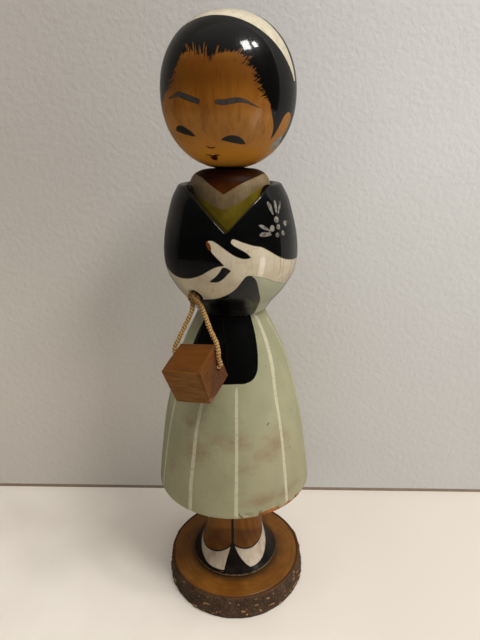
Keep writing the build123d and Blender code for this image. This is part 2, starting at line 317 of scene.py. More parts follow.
class Shader:
    """A node material, built up by calls that return sockets."""

    def __init__(self, name):
        self.mat = bpy.data.materials.new(name)
        self.mat.use_nodes = True
        self.tree = self.mat.node_tree
        self.tree.nodes.clear()
        self.out = self.tree.nodes.new("ShaderNodeOutputMaterial")
        self.bsdf = self.tree.nodes.new("ShaderNodeBsdfPrincipled")
        self.tree.links.new(self.bsdf.outputs[0], self.out.inputs[0])
        self.where = self.tree.nodes.new("ShaderNodeTexCoord").outputs["Object"]

    def feed(self, socket, value):
        if isinstance(value, bpy.types.NodeSocket):
            self.tree.links.new(value, socket)
        else:
            socket.default_value = value

    def math(self, op, a, b=0.0):
        n = self.tree.nodes.new("ShaderNodeMath")
        n.operation = op
        for socket, value in zip(n.inputs, (a, b)):
            self.feed(socket, value)
        return n.outputs[0]

    def add(self, a, b):
        return self.math("ADD", a, b)

    def less(self, a, b):
        return self.math("SUBTRACT", a, b)

    def rest(self, a):
        return self.less(1.0, a)

    def mul(self, a, b):
        return self.math("MULTIPLY", a, b)

    def distance(self, a, b):
        return self.math("SQRT", self.add(self.mul(a, a), self.mul(b, b)))

    def swing(self, noise, width):
        """Noise from 0 to 1 brought to either side of nothing."""
        return self.mul(self.less(noise, 0.5), width)

    def mix(self, fac, a, b):
        n = self.tree.nodes.new("ShaderNodeMix")
        n.data_type = "RGBA"
        self.feed(n.inputs[0], fac)
        self.feed(n.inputs[6], a)
        self.feed(n.inputs[7], b)
        return n.outputs[2]

    def step(self, x, low, high):
        n = self.tree.nodes.new("ShaderNodeMapRange")
        n.interpolation_type = "SMOOTHSTEP"
        self.feed(n.inputs[0], x)
        n.inputs[1].default_value, n.inputs[2].default_value = low, high
        return n.outputs[0]

    def layer(self, base, colour, value, low, high, amount=1.0):
        """The base, covered by a colour where the value nears high. amount: how far it covers."""
        cover = self.step(value, low, high)
        return self.mix(cover if amount == 1.0 else self.mul(cover, amount), base, colour)

    def scaled(self, scale, offset):
        n = self.tree.nodes.new("ShaderNodeMapping")
        self.feed(n.inputs[0], self.where)
        n.inputs[1].default_value = offset
        n.inputs[3].default_value = scale
        return n.outputs[0]

    def noise(self, size_mm, detail=3.0, rough=0.55, stretch=(1, 1, 1), offset=(0, 0, 0), line=None):
        """Noise from 0 to 1. stretch makes features longer along an axis. line: a value to run it along."""
        n = self.tree.nodes.new("ShaderNodeTexNoise")
        if line is None:
            scale = tuple(1 / (size_mm * MM * s) for s in stretch)
            self.feed(n.inputs["Vector"], self.scaled(scale, offset))
        else:
            n.noise_dimensions = "1D"
            self.feed(n.inputs["W"], self.mul(line, 1 / size_mm))
        n.inputs["Scale"].default_value = 1.0
        n.inputs["Detail"].default_value = detail
        n.inputs["Roughness"].default_value = rough
        return n.outputs[0]

    def attr(self, name):
        n = self.tree.nodes.new("ShaderNodeAttribute")
        n.attribute_name = name
        return n.outputs["Fac"]

    def along(self, axis):
        """Place in mm along an axis: 0, 1 or 2."""
        n = self.tree.nodes.new("ShaderNodeSeparateXYZ")
        self.feed(n.inputs[0], self.where)
        return self.mul(n.outputs[axis], 1 / MM)

    def height(self):
        return self.along(2)

    def from_axis(self, x=0.0, y=0.0):
        """Distance in mm from a vertical line."""
        return self.distance(self.less(self.along(0), x), self.less(self.along(1), y))

    def mask(self, name, soft=0.07, wobble=0.0, size=1.2):
        """1 inside a painted area. wobble makes its edge uneven."""
        d = self.attr(name)
        if wobble:
            d = self.add(d, self.swing(self.noise(size, 2.0), wobble * 2))
        return self.step(d, -soft, soft)

    def edge(self, name, half_width, soft=0.08):
        """1 on a thin line along a painted area's edge."""
        return self.step(self.math("ABSOLUTE", self.attr(name)), half_width + soft, half_width - soft)

    def bump(self, height, depth_mm, strength=1.0, under=None):
        n = self.tree.nodes.new("ShaderNodeBump")
        self.feed(n.inputs["Strength"], strength)
        n.inputs["Distance"].default_value = depth_mm * MM
        self.feed(n.inputs["Height"], height)
        if under:
            self.feed(n.inputs["Normal"], under)
        return n.outputs[0]

    def finish(self, colour, rough, normal=None, coat=0.0, coat_rough=0.1, specular=0.5):
        self.feed(self.bsdf.inputs["Base Color"], colour)
        self.feed(self.bsdf.inputs["Roughness"], rough)
        self.feed(self.bsdf.inputs["Specular IOR Level"], specular)
        self.feed(self.bsdf.inputs["Coat Weight"], coat)
        self.feed(self.bsdf.inputs["Coat Roughness"], coat_rough)
        if normal:
            self.feed(self.bsdf.inputs["Normal"], normal)
        return self.mat


def turned_wood(s, pale, mid, dark, pith=(9.0, 14.0), streak=1.0):
    """Colour of turned wood with upright grain: growth rings about an off-centre pith, and fine streaks."""
    warp = s.mul(s.noise(26, 2.0, stretch=(1, 1, 4)), 7.0)
    rings = s.math("SINE", s.mul(s.add(s.from_axis(*pith), warp), 2.6))
    rings = s.step(rings, -0.9, 1.0)
    fine = s.noise(0.9, 4.0, 0.65, stretch=(1, 1, 16))
    broad = s.noise(7.0, 3.0, 0.5, stretch=(1, 1, 5))
    colour = s.layer(pale, mid, broad, 0.3, 0.72)
    colour = s.mix(s.mul(rings, 0.34 * streak), colour, dark)
    return s.layer(colour, dark, fine, 0.5, 0.78, 0.5 * streak)


# -------- branch slice

base_disc = Turned("look_base_disc", (AXIS_R, 0), [
    (6, (DISC_R - 0.3, 0)), (3, (DISC_R, 0.3)), (6, (DISC_R, BASE_H - 0.4)),
    (5, (DISC_R - 0.3, BASE_H - 0.05), (DISC_R - 0.7, BASE_H)), (60, (FOOT_HOLE_R, BASE_H)),
    (4, (FOOT_HOLE_R, 2.5)), (3, (AXIS_R, 2.5)),
])
top_face = (base_disc.z > 10.7) & (base_disc.r > 5)
ripple = grain(base_disc.xyz, 9.0) - 0.5
base_disc.xyz[..., 2] += np.where(top_face, 0.16 * ripple - 0.1, 0)

s = Shader("branch_wood")
wood = turned_wood(s, rgb(128, 81, 24), rgb(106, 64, 17), rgb(70, 39, 12), (3.0, -2.0), streak=0.5)
out = s.add(s.from_axis(), s.swing(s.noise(5, 2.0), 2.2))
wood = s.layer(wood, rgb(88, 52, 16), s.noise(11, 3.0, offset=(3, 1, 0)), 0.5, 0.7, 0.45)
# Darker ring round the feet: partly a stain, partly painted shade where the feet stand on the disc.
wood = s.layer(wood, rgb(54, 36, 20), out, 24.2, 20.8, 0.74)
wood = s.layer(wood, rgb(84, 48, 20), out, 30.6, 31.8, 0.5)
pores = s.noise(0.5, 3.0, 0.6)
BRANCH_WOOD = s.finish(
    wood,
    s.add(0.3, s.mul(s.noise(6, 3.0), 0.16)),
    s.bump(pores, 0.05, 0.35),
    coat=0.25,
    coat_rough=0.18,
    specular=0.35,
)

BARK_FOOT_R = (34.2, 33.8, 34.0, 34.3, 33.7, 33.3, 33.1, 33.6, 34.1, 33.9)
BARK_TOP_R = (32.9, 32.5, 32.8, 32.9, 32.4, 32.3, 32.1, 32.4, 32.8, 32.6)
BARK_COLUMNS = 900
BARK_ROWS = 70
BARK_BLEND = 30


def bark_ring():
    """The ring of bark, craggy outside, with a broken upper edge."""
    turn = np.linspace(0, 2 * np.pi, BARK_COLUMNS, endpoint=False)
    knots = np.linspace(0, 2 * np.pi, len(BARK_FOOT_R) + 1)
    foot = np.interp(turn, knots, BARK_FOOT_R + BARK_FOOT_R[:1])
    top = np.interp(turn, knots, BARK_TOP_R + BARK_TOP_R[:1])
    window = np.full(2 * BARK_BLEND + 1, 1 / (2 * BARK_BLEND + 1))
    foot = np.convolve(np.r_[foot[-BARK_BLEND:], foot, foot[:BARK_BLEND]], window, "valid")
    top = np.convolve(np.r_[top[-BARK_BLEND:], top, top[:BARK_BLEND]], window, "valid")
    inner = DISC_R + 0.03
    rows, raised = [], []
    for u in np.linspace(0, 1, BARK_ROWS):
        z = 0.05 + u * (BASE_H - 0.1)
        r = foot + (top - foot) * u ** 1.1
        p = np.column_stack([r * np.cos(turn), r * np.sin(turn), np.full(BARK_COLUMNS, z)])
        lumps = grain(p, 3.1) - 0.5
        cracks = np.abs(grain(p * (1, 1, 0.35) + 40, 1.5) - 0.5)
        crumbs = grain(p + 90, 0.55) - 0.5
        lens = np.clip(grain(p * (0.8, 0.8, 1.8) + 15, 1.6) - 0.785, 0, 1) * 6
        d = 0.75 * lumps - 0.3 * np.exp(-((cracks / 0.05) ** 2)) + 0.32 * crumbs + 0.45 * lens
        d = d * min(1, 9 * u + 0.2) * min(1, 9 * (1 - u) + 0.25)
        d = d - 0.3 * fade(u, 0.9, 1.0) - 0.35 * fade(u, 0.08, 0)
        rows.append(np.column_stack([p[:, 0] * (1 + d / r), p[:, 1] * (1 + d / r), p[:, 2]]))
        raised.append(lens)
    ragged = along_line(turn * 32 / 1.6)
    for share in (0.0, 0.3, 0.65, 1.0):
        r = np.hypot(rows[BARK_ROWS - 1][:, 0], rows[BARK_ROWS - 1][:, 1])
        r = r + (inner - r) * share
        z = BASE_H - 0.02 - 0.3 * (1 - share) * ragged
        rows.append(np.column_stack([r * np.cos(turn), r * np.sin(turn), z]))
        raised.append(turn * 0)
    for z in np.linspace(BASE_H - 0.02, 0.05, 6)[1:]:
        rows.append(np.column_stack([inner * np.cos(turn), inner * np.sin(turn), np.full(BARK_COLUMNS, z)]))
        raised.append(turn * 0)
    count = len(rows) * BARK_COLUMNS
    faces = [[v % count for v in f] for f in grid_faces(len(rows) + 1, BARK_COLUMNS)]
    return make_object("look_base_bark", np.vstack(rows), faces, {"lens": np.concatenate(raised)})


base_bark = bark_ring()
s = Shader("bark")
bark = s.layer(rgb(70, 51, 37), rgb(88, 67, 50), s.noise(5, 4.0, 0.6), 0.32, 0.7)
bark = s.layer(bark, rgb(52, 38, 32), s.noise(1.1, 5.0, 0.7), 0.45, 0.72, 0.75)
bark = s.layer(bark, rgb(150, 132, 116), s.noise(0.6, 4.0, 0.7, offset=(9, 4, 2)), 0.6, 0.75, 0.6)
bark = s.layer(bark, rgb(168, 128, 78), s.attr("lens"), 0.06, 0.4, 0.85)
bark = s.layer(bark, rgb(104, 66, 30), s.height(), 10.2, 10.7, 0.85)
bark = s.layer(bark, rgb(52, 32, 18), s.from_axis(), 32.4, 31.9, 0.6)
BARK = s.finish(
    bark,
    s.add(0.72, s.mul(s.noise(2, 3.0), 0.25)),
    s.bump(s.noise(0.45, 5.0, 0.75), 0.25, 0.8),
    specular=0.25,
)

# -------- feet and legs

legs = Turned(
    "look_legs",
    (AXIS_R, 24.5),
    [
        (3, (FOOT_HOLE_R, 24.5)), (5, (FOOT_HOLE_R, BASE_H + 0.05)), (8, (19.9, BASE_H + 0.02)),
        (12, (20.4, 11.05), (20.6, 11.7), (20.5, 12.7)),
        (110, (17.0, 18.4), (14.3, 25.0), (13.1, 32.0), (LEG_R, 44.0)), (20, (LEG_R, 61.9)),
        (3, (TENON_R, 61.9)), (3, (TENON_R, 82.0)), (3, (AXIS_R, 82.0)),
    ],
    painted=(3, 6),
)
left_sole = [(-97, 25), (-84, 19.6), (-66, 16.6), (-49, 14.6), (-37, 13.6), (-23, 13.4)]
right_sole = [(25.5, 14.2), (34, 14.3), (45, 15.0), (59, 17.0), (74, 20.4), (85, 25)]
legs.fill(
    "shoe",
    [
        (-100, 29), None, (-93, 23.5), (-79, 20.3), (-60.7, 19.0), (-40, 19.4), (-22, 21.0), (-7, 23.5),
        (-2.4, 24.8), None, (-6.5, 20.8), (-8.8, 18.4), (-10.2, 16.3), None, (-11.5, 13.6), None,
        *left_sole[::-1], (-100, 29), None,
    ],
    [
        (0.6, 24.6), None, (14.7, 22.8), (30.7, 21.9), (46.7, 22.3), (62, 23.6), (76, 26.0), (88, 31),
        None, *right_sole[::-1], None, (17.7, 16.4), (8, 20.4), (0.6, 24.6), None,
    ],
)
sole_edge = [
    (-180, 24), (-130, 24), (-105, 27), *left_sole, (-11.5, 13.6), (-10.2, 16.3), (-6.5, 20.8),
    (-2.4, 24.8), None, (0.6, 24.6), None, (8, 20.4), (17.7, 16.4), *right_sole, (96, 27), (130, 24),
    (180, 24),
]
legs.paint("black", legs.beyond(sole_edge, 8))
legs.brush(
    "line",
    [
        (-94, 22.9, .3), (-79, 20.2, .32), (-60.7, 19.0, .34), (-40, 19.4, .36), (-22, 21.0, .38),
        (-7, 23.4, .38), (-1.4, 25.4, .42),
    ],
    [
        (-0.8, 25.4, .42), (6, 23.7, .38), (14.7, 22.8, .36), (30.7, 21.9, .36), (46.7, 22.3, .34),
        (62, 23.6, .3), (76, 26.0, .26), (88, 31, .18),
    ],
    [(-1, 24.6, .55), (-1, 30, .62), (-1.2, 36, .58), (-1, 44, .52), (-1, 60, .48)],
    [(179, 24, .4), (179.5, 40, .5), (179, 60, .4)],
)
# Below this line the legs carry a darker painted reflection.
dark_reflection_top = [
    (-180, 27), (-100, 26.5), (-63, 27.3), (-30, 31), (-1, 32.6), (30, 31), (65, 27.4), (100, 26.5),
    (180, 27),
]
legs.paint("leg_dark_reflection", legs.beyond(dark_reflection_top, 5))

WORN_RIM_Z = 12.6
s = Shader("leg_paint")
wood = turned_wood(s, rgb(160, 102, 26), rgb(144, 88, 20), rgb(96, 54, 12))
# A darker copy of the leg wood, painted on the lower legs as a dark reflection.
leg_dark_reflection = turned_wood(s, rgb(118, 70, 18), rgb(104, 60, 13), rgb(70, 40, 9))
wood = s.layer(wood, rgb(190, 124, 36), s.height(), 36, 50, 0.6)
skin = s.layer(wood, leg_dark_reflection, s.attr("leg_dark_reflection"), -1.4, 0.8, 0.8)
black = s.layer(rgb(22, 18, 15), rgb(36, 29, 24), s.noise(3, 3.0), 0.5, 0.72)
white = s.layer(rgb(206, 190, 170), rgb(176, 158, 136), s.noise(4, 3.0, stretch=(1, 1, 2)), 0.42, 0.75)
white = s.layer(white, rgb(156, 136, 114), s.noise(0.8, 3.0, stretch=(1, 1, 6)), 0.56, 0.75, 0.4)
colour = s.mix(s.mask("black", 0.1, 0.15), skin, black)
colour = s.mix(s.mask("line", 0.12, 0.1), colour, rgb(26, 22, 20))
colour = s.mix(s.mask("shoe", 0.1, 0.12), colour, white)
colour = s.mix(s.edge("shoe", 0.3), colour, rgb(26, 22, 20))
ragged = s.add(s.height(), s.swing(s.noise(1.4, 4.0, 0.7, offset=(2, 2, 0)), 1.6))
rim = s.layer(rgb(150, 132, 106), rgb(96, 76, 52), s.noise(1.2, 3.0, 0.6), 0.4, 0.65)
colour = s.layer(colour, rim, ragged, WORN_RIM_Z, WORN_RIM_Z - 0.5, 0.85)
LEG_PAINT = s.finish(
    colour,
    s.add(0.28, s.mul(s.noise(3, 3.0), 0.2)),
    s.bump(s.add(s.noise(0.7, 3.0, stretch=(1, 1, 10)), s.mul(s.mask("shoe", 0.2), 0.6)), 0.06, 0.5),
    coat=0.14,
    coat_rough=0.15,
    specular=0.15,
)

# -------- skirt

HEM_Z = 57.5

skirt = Turned(
    "look_skirt",
    (AXIS_R, 82.5),
    [
        (3, (TENON_R + 0.05, 82.5)), (4, (TENON_R + 0.05, 62.05)), (4, (14.1, 62.0)),
        (16, (20.2, 61.75), (26.0, 60.6), (30.4, 59.1), (33.4, 57.7)),
        (8, (34.2, 57.35), (34.95, 57.6), (35.15, 58.3)),
        (
            185, (34.3, 66.0), (33.0, 75.6), (30.7, 90.6), (27.2, 105.6), (23.9, 117.6), (19.9, 127.6),
            (15.8, 136.0), (13.8, 140.2),
        ),
        (4, (13.5, WAIST_Z - 0.02), (13.1, WAIST_Z)), (4, (WAIST_HOLE_R, WAIST_Z)),
        (4, (WAIST_HOLE_R, 119.5)), (3, (AXIS_R, 119.5)),
    ],
    painted=(4, 7),
)
hem_chip = np.clip(grain(skirt.xyz + 7, 2.0) - 0.5, 0, 1) * (skirt.z < 62) * (skirt.r > 33)
hem_chip *= fade(skirt.z, 61.5, HEM_Z) * fade(skirt.az, 0, 12) * fade(skirt.az, 85, 70)
skirt.xyz[..., :2] *= (1 - 2.2 * hem_chip / np.maximum(skirt.r, 1))[..., None]

apron_edge = [
    (36.8, 141.5), (37.1, 134.8), (35.4, 129.3), (32.5, 123.2), (29.2, 118.9), (24.2, 116.3), (17.4, 115.1),
    (4.9, 115.0), (-8, 114.8), (-22, 114.9), (-36, 116.6), (-45, 120.4), (-50.2, 125.5), (-49.6, 132),
    (-45.7, 137.8), (-44, 141.5),
]
skirt.fill("apron", apron_edge + [None, (36.8, 141.5), None])
skirt.brush(
    "stripe",
    [
        (7.6, 113.6, .2), (7.4, 112.6, .5), (7.0, 108, .6), (6.3, 92, .62), (5.6, 74, .72), (5, 60, .8),
        (5, 57.4, .8),
    ],
    [
        (42, 141, .5), (49.8, 136.6, .8), (50.6, 128, .95), (48.4, 119, 1.0), (45.8, 110, .85),
        (45.1, 95.9, .75), (44.7, 76, .8), (44.5, 57.5, .7),
    ],
    [(76, 136, .3), (82, 124, .45), (84, 112, .5), (83.4, 90, .55), (82, 57.5, .6)],
    [(-22, 113, .3), (-24, 106, .7), (-26.7, 94, .8), (-27.4, 84, .85), (-28.8, 71, .9), (-28.8, 57.4, .9)],
    [(-55, 124, .3), (-56.5, 110, .5), (-59, 93, .6), (-61.6, 76, .6), (-63.7, 57.4, .7)],
)
for foot, lean in ((118, 6), (154, 4), (-170, -4), (-134, -4), (-98, -6)):
    bend_az = foot - math.copysign(1, lean)
    skirt.brush("stripe", [(foot - lean, 137, .4), (bend_az, 120, .6), (foot, 90, .6), (foot, 57.5, .7)])
hem_wear = (grain(skirt.xyz + 3, 1.6) * 0.6 + grain(skirt.xyz + 30, 0.6) * 0.4) - 0.5
rim_height = HEM_Z + 2.1 * along_line(skirt.az / 5)
worn_side = fade(skirt.az, 8, 22) * fade(skirt.az, 96, 78)
hem_wear = 1.4 * hem_wear + np.clip((rim_height - skirt.z) / 1.3, -3, 0.5) - 2 * (1 - worn_side)


def smudge(az, h, wide, tall):
    """1 at a spot on the skirt, falling to 0 at an ellipse round it."""
    across = np.radians((skirt.az - az + 180) % 360 - 180) * skirt.r / (1.3 * wide)
    return np.clip(1 - np.hypot(across, (skirt.z - h) / (1.4 * tall)), 0, 1) ** 1.3


stains = [
    smudge(-25.3, 85.8, 10, 6.5), smudge(-32, 97, 8, 6) * 0.7, smudge(-10, 92.6, 7, 4) * 0.6,
    smudge(6.6, 90.8, 8, 5) * 0.8, smudge(38.6, 87.9, 9, 7), smudge(31, 84.4, 11, 4),
    smudge(24.5, 64.7, 10, 3.4), smudge(44, 64.3, 11, 3) * 0.9, smudge(14, 80, 7, 4) * 0.5,
    smudge(-50, 74, 9, 6) * 0.6, smudge(150, 82, 12, 8) * 0.8, smudge(-120, 92, 11, 7) * 0.8,
    smudge(100, 70, 10, 5) * 0.8, smudge(-165, 68, 12, 4) * 0.8,
]
skirt.layers["stain"] = np.where(skirt.skin, np.maximum.reduce(stains), 0)
skirt.paint("wear", np.where(skirt.skin, hem_wear, -3.0))
skirt.brush(
    "nick",
    [(7.2, 60.0, .25), (7.9, 58.8, .3), (9.4, 58.4, .25), (8.4, 57.4, .4)],
    [(32.2, 96.7, .2), (33.4, 97.3, .3), (34.6, 97.5, .12)],
)
for az, h, size in (
    (52.4, 82.8, .4), (63.5, 97.6, .35), (40, 120, .3), (-20, 66, .3), (140, 96, .4), (-140, 75, .4),
):
    skirt.brush("nick", [(az, h - size, size / 2), (az + 0.8, h + size, size / 2)])

s = Shader("skirt_paint")
tone = s.noise(16, 3.0, 0.5, stretch=(1, 1, 1.4))
paint = s.layer(rgb(166, 163, 130), rgb(153, 152, 120), tone, 0.35, 0.68)
height = s.height()
paint = s.layer(paint, rgb(156, 148, 112), height, 105, 60, 0.4)
fine = s.noise(0.8, 4.0, 0.65, stretch=(1, 1, 14))
paint = s.layer(paint, rgb(132, 134, 104), fine, 0.52, 0.8, 0.22)
blotch = s.noise(2.6, 4.0, 0.6, stretch=(1.6, 1.6, 1), offset=(4, 0, 1))
paint = s.layer(paint, rgb(136, 124, 94), blotch, 0.55, 0.78, 0.3)
drift = s.swing(s.noise(4.5, 5.0, 0.65, stretch=(1.5, 1.5, 0.8)), 1.5)
stain = s.step(s.add(s.attr("stain"), s.mul(s.step(s.attr("stain"), 0, 0.3), drift)), -0.1, 1.1)
speckle = s.step(s.noise(0.7, 4.0, 0.7, stretch=(1, 1, 2.2)), 0.35, 0.65)
stain = s.mul(stain, s.add(0.5, s.mul(speckle, 0.5)))
paint = s.mix(s.mul(stain, 0.72), paint, rgb(138, 102, 70))
stripe_white = s.layer(rgb(206, 200, 174), rgb(180, 172, 142), s.noise(2.0, 4.0, 0.65), 0.45, 0.75)
stripe_mask = s.mask("stripe", 0.12, 0.16, 1.6)
stripe_mask = s.mul(stripe_mask, s.step(s.noise(3.2, 4.0, 0.7, offset=(1, 7, 3)), 0.30, 0.42))
paint = s.mix(s.mul(stripe_mask, 0.82), paint, stripe_white)
ground = s.layer(rgb(176, 108, 38), rgb(126, 74, 26), s.noise(1.5, 4.0, 0.65, stretch=(1, 1, 6)), 0.35, 0.7)
paint = s.mix(s.mul(s.mask("nick", 0.12, 0.15, 0.6), 0.85), paint, rgb(66, 58, 36))
worn = s.step(s.attr("wear"), -0.02, 0.05)
paint = s.layer(paint, rgb(176, 142, 108), s.attr("wear"), -0.42, -0.05, 0.4)
paint = s.mix(worn, paint, ground)
paint = s.layer(paint, rgb(150, 120, 76), height, HEM_Z + 0.1, HEM_Z - 0.2, 0.7)
apron = s.mask("apron", 0.1, 0.12)
ink = s.layer(rgb(4, 4, 4), rgb(10, 10, 9), s.noise(5, 4.0, 0.6), 0.5, 0.75)
paint = s.mix(apron, paint, ink)
skirt_rough = s.add(s.mul(s.rest(apron), 0.16), s.add(0.30, s.mul(s.noise(4, 3.0), 0.14)))
relief = s.add(s.mul(s.add(fine, stripe_mask), 0.5), s.add(s.mul(apron, 0.8), s.mul(worn, -1.2)))
turning = s.noise(2.4, 3.0, 0.5, stretch=(9, 9, 0.55))
SKIRT_PAINT = s.finish(
    paint,
    skirt_rough,
    s.bump(turning, 0.12, 0.45, under=s.bump(relief, 0.07, 0.5)),
    coat=s.mul(apron, 0.6),
    coat_rough=0.10,
    specular=s.less(0.4, s.mul(apron, 0.35)),
)

# -------- coat

NOTCH_TIP_Z = 175.6
NOTCH_RUN_PER_RISE = 0.96
NOTCH_ROUND = 0.5
COAT_FOOT_Z = 139.8
RECESS_R = 17.0
RECESS_FLOOR = 172.0
RECESS_TOP = 189.6
CORD_EXIT = np.array([-13.1, -19.2, 149.4])
HOLE_OUT = np.array([-math.sin(math.radians(20)), -math.cos(math.radians(20)), 0.0])


def coat_shape(r, z, az):
    """Cuts the V out of the front of the rim, keeping the mesh whole."""
    a = np.radians(az)
    across = r * np.sin(a)
    forward = r * np.cos(a)
    notch = NOTCH_TIP_Z + np.hypot(across, NOTCH_ROUND) / NOTCH_RUN_PER_RISE - NOTCH_ROUND
    notch = notch + 60 * fade(forward, 11.5, 9.0)
    cut = soft_min(z, notch, 0.95)
    wall = (z - RECESS_FLOOR) / (RECESS_TOP - RECESS_FLOOR)
    depth = np.minimum(notch, RECESS_TOP) - RECESS_FLOOR
    inner = (np.abs(r - RECESS_R) < 0.01) & (z <= RECESS_TOP)
    return r, np.where(inner, RECESS_FLOOR + wall * depth, np.where(r > RECESS_R - 0.1, cut, z))


coat = Turned(
    "look_coat",
    (AXIS_R, 157.5),
    [
        (3, (WAIST_HOLE_R, 157.5)), (4, (WAIST_HOLE_R, WAIST_Z + 0.04)), (6, (14.9, WAIST_Z + 0.04)),
        (4, (15.15, 140.65), (15.3, 140.9)),
        (
            180, (18.0, 144.6), (20.8, 147.7), (23.7, 151.8), (26.4, 157.2), (27.4, 163.0), (26.9, 171.0),
            (25.2, 179.0), (23.0, 186.2), (20.9, 190.2),
        ),
        (16, (20.3, 191.0), (19.1, 191.4), (17.9, 191.2), (17.3, 190.6)), (3, (RECESS_R, RECESS_TOP)),
        (14, (RECESS_R, RECESS_FLOOR)), (5, (NECK_HOLE_R, RECESS_FLOOR)), (4, (NECK_HOLE_R, 161.5)),
        (3, (AXIS_R, 161.5)),
    ],
    shape=coat_shape,
    painted=(3, 6),
)

# Both hands and forearms, from the lower sleeve's wrist round the crossed fingers.
arms = coat.area([
    (4.5, 173.2), (5.9, 173.7), (8.5, 173.4), (12.7, 172.6), (22.5, 171), (28.9, 170.3), (36.7, 168.3),
    (43, 166.5), (51.9, 164.6), (64.1, 163.3), (77, 162.7), (92, 163), (105, 161), (112, 156), (110, 151),
    None, (91, 149.5), (69.5, 152.2), (43.8, 156), (32, 158.3), (24.4, 159.2), (21.5, 159.7), (18, 159.9),
    (15.5, 159.4), (12.7, 157.7), (9, 155.2), (3.9, 153), (-3.1, 151.2), (-12.2, 149.8), (-24.7, 148.9),
    (-35, 147.5), (-50, 147), (-80, 147.5), (-108, 148), None, (-105, 155), (-95, 160), (-80, 161.5),
    (-65, 159.4), (-52.9, 158), (-46.2, 157.6), (-34.9, 157.9), (-26.6, 158.9), (-19.3, 160.4),
    (-13.8, 162), (-8.8, 163.3), (-4.9, 163.9), (-1.5, 164.1), None, (-2.9, 164.9), (-6.7, 166.7),
    (-10.7, 168.7), (-12.6, 170.3), (-14.6, 171.6), (-14.4, 172.7), (-13.2, 173.0), (-10.2, 173),
    (-6.7, 172.2), (-2.8, 171), (2.9, 169), (7.6, 167.6), (12.4, 166.7), (16.2, 166.5), (19.4, 166.8),
    None, (16.3, 168.3), (10.6, 170), (5.8, 171.4), (4, 172.5), (4.5, 173.2),
])
finger_gap = coat.area([
    (-1, 163.3), (1.5, 162.9), (3.7, 162.1), None, (0.8, 160.7), (-2.1, 159.2), (-6.2, 157.9),
    (-10.4, 157.6), (-13.2, 157.7), None, (-8.1, 159.7), (-4.5, 161.6), (-2.4, 163.2), (-1, 163.3),
])
coat.paint("cream", np.minimum(arms, -finger_gap))

right_edge = [
    (40.0, COAT_FOOT_Z), (40.2, 142.2), (38.8, 145.2), (34.4, 149.0), (30.4, 151.9), (27.4, 154.6),
    (24.3, 157.7), (20.6, 159.7), (18, 160.6), None, (24.4, 159.2), None, (32, 158.3), (43.8, 156),
    (69.5, 152.2), (91, 149.5), (110, 148.2), (140, 147.4), (180, 147.0),
]
left_edge = [
    (-180, 147.0), (-140, 147.3), (-108, 148), (-80, 147.6), (-48.5, 147.2), None, (-47.5, 143.6),
    (-46.5, COAT_FOOT_Z),
]
coat.paint("green", coat.beyond(right_edge, COAT_FOOT_Z))
coat.paint("green", coat.beyond(left_edge, COAT_FOOT_Z))
coat.brush("nail", [(-14.4, 172.1, .5), (-13.5, 171.4, .72), (-12.2, 170.1, .6)])
coat.brush(
    "petal",
    [(40.6, 185.4, .5), (41.6, 184.3, .85), (43.9, 181.3, .3)],
    [(49.6, 185.8, .4), (49.3, 184.4, .7), (48.3, 182.0, .4)],
    [(57.4, 185.3, .2), (54.5, 183.6, .5), (50.5, 181.4, .3)],
    [(28.7, 177.8, .35), (31.3, 177.3, .62), (37.4, 175.8, .3)],
    [(28.6, 174.5, .4), (31.5, 174.6, .85), (38.6, 174.3, .25)],
    [(60.0, 178.4, .15), (63.5, 177.0, .12)],
)
for az, h, radius in (
    (46.9, 179.2, 1.2), (57.6, 177.4, 1.05), (40.8, 176.4, 1.15), (47.7, 176.6, 1.0), (52.6, 174.1, 0.95),
    (45.4, 173.8, 0.9), (37.5, 175.2, 0.5),
):
    coat.dot("petal", az, h, radius)

HOLE_R = 2.66
HOLE_DEPTH = 8.8
MOUTH_R = 3.4
from_exit = coat.xyz - CORD_EXIT
along = from_exit @ HOLE_OUT
aside = np.linalg.norm(from_exit - along[..., None] * HOLE_OUT, axis=-1)
on_outer = coat.skin & (np.abs(along) < 6)
dish = np.where(aside < MOUTH_R, -np.sqrt(np.maximum(MOUTH_R**2 - aside**2, 0)), along)
dish = np.where(aside < HOLE_R, -HOLE_DEPTH, dish)
push = np.where(on_outer & (aside < MOUTH_R), np.minimum(dish - along, 0), 0)
coat.layers["hole"] = np.where(on_outer, np.maximum(MOUTH_R - aside, -FAR), -FAR)
coat.xyz += push[..., None] * HOLE_OUT

s = Shader("coat_paint")
ink = s.layer(rgb(4, 4, 4), rgb(10, 10, 10), s.noise(5, 4.0, 0.6), 0.45, 0.75)
ink = s.layer(ink, rgb(24, 24, 23), s.noise(0.55, 5.0, 0.75), 0.62, 0.74, 0.35)
cream = s.layer(rgb(210, 200, 175), rgb(198, 185, 158), s.noise(9, 3.0), 0.35, 0.7)
cream_grain = s.noise(0.75, 4.0, 0.65, stretch=(1, 1, 15))
cream = s.layer(cream, rgb(172, 146, 112), cream_grain, 0.5, 0.78, 0.34)
rub = s.mul(
    s.step(s.noise(6, 4.0, 0.65, offset=(2.2, 0.4, 0.9)), 0.52, 0.68),
    s.step(s.noise(1.2, 4.0, 0.7), 0.4, 0.65),
)
cream = s.mix(s.mul(rub, 0.5), cream, rgb(172, 124, 90))
sleeve = s.mul(
    s.step(s.along(0), 16.5, 20.5),
    s.step(s.noise(0.9, 4.0, 0.65, stretch=(1, 1, 9), offset=(1, 5, 2)), 0.46, 0.68),
)
cream = s.mix(s.mul(sleeve, 0.6), cream, rgb(140, 98, 62))
green = s.layer(rgb(180, 182, 156), rgb(169, 171, 145), s.noise(9, 3.0), 0.35, 0.7)
paint = s.mix(s.mask("green", 0.12, 0.08), ink, green)
paint = s.mix(s.mask("cream", 0.09, 0.08), paint, cream)
dark_side = s.mul(s.edge("cream", 0.17, 0.1), s.rest(s.step(s.attr("green"), -0.9, 0.5)))
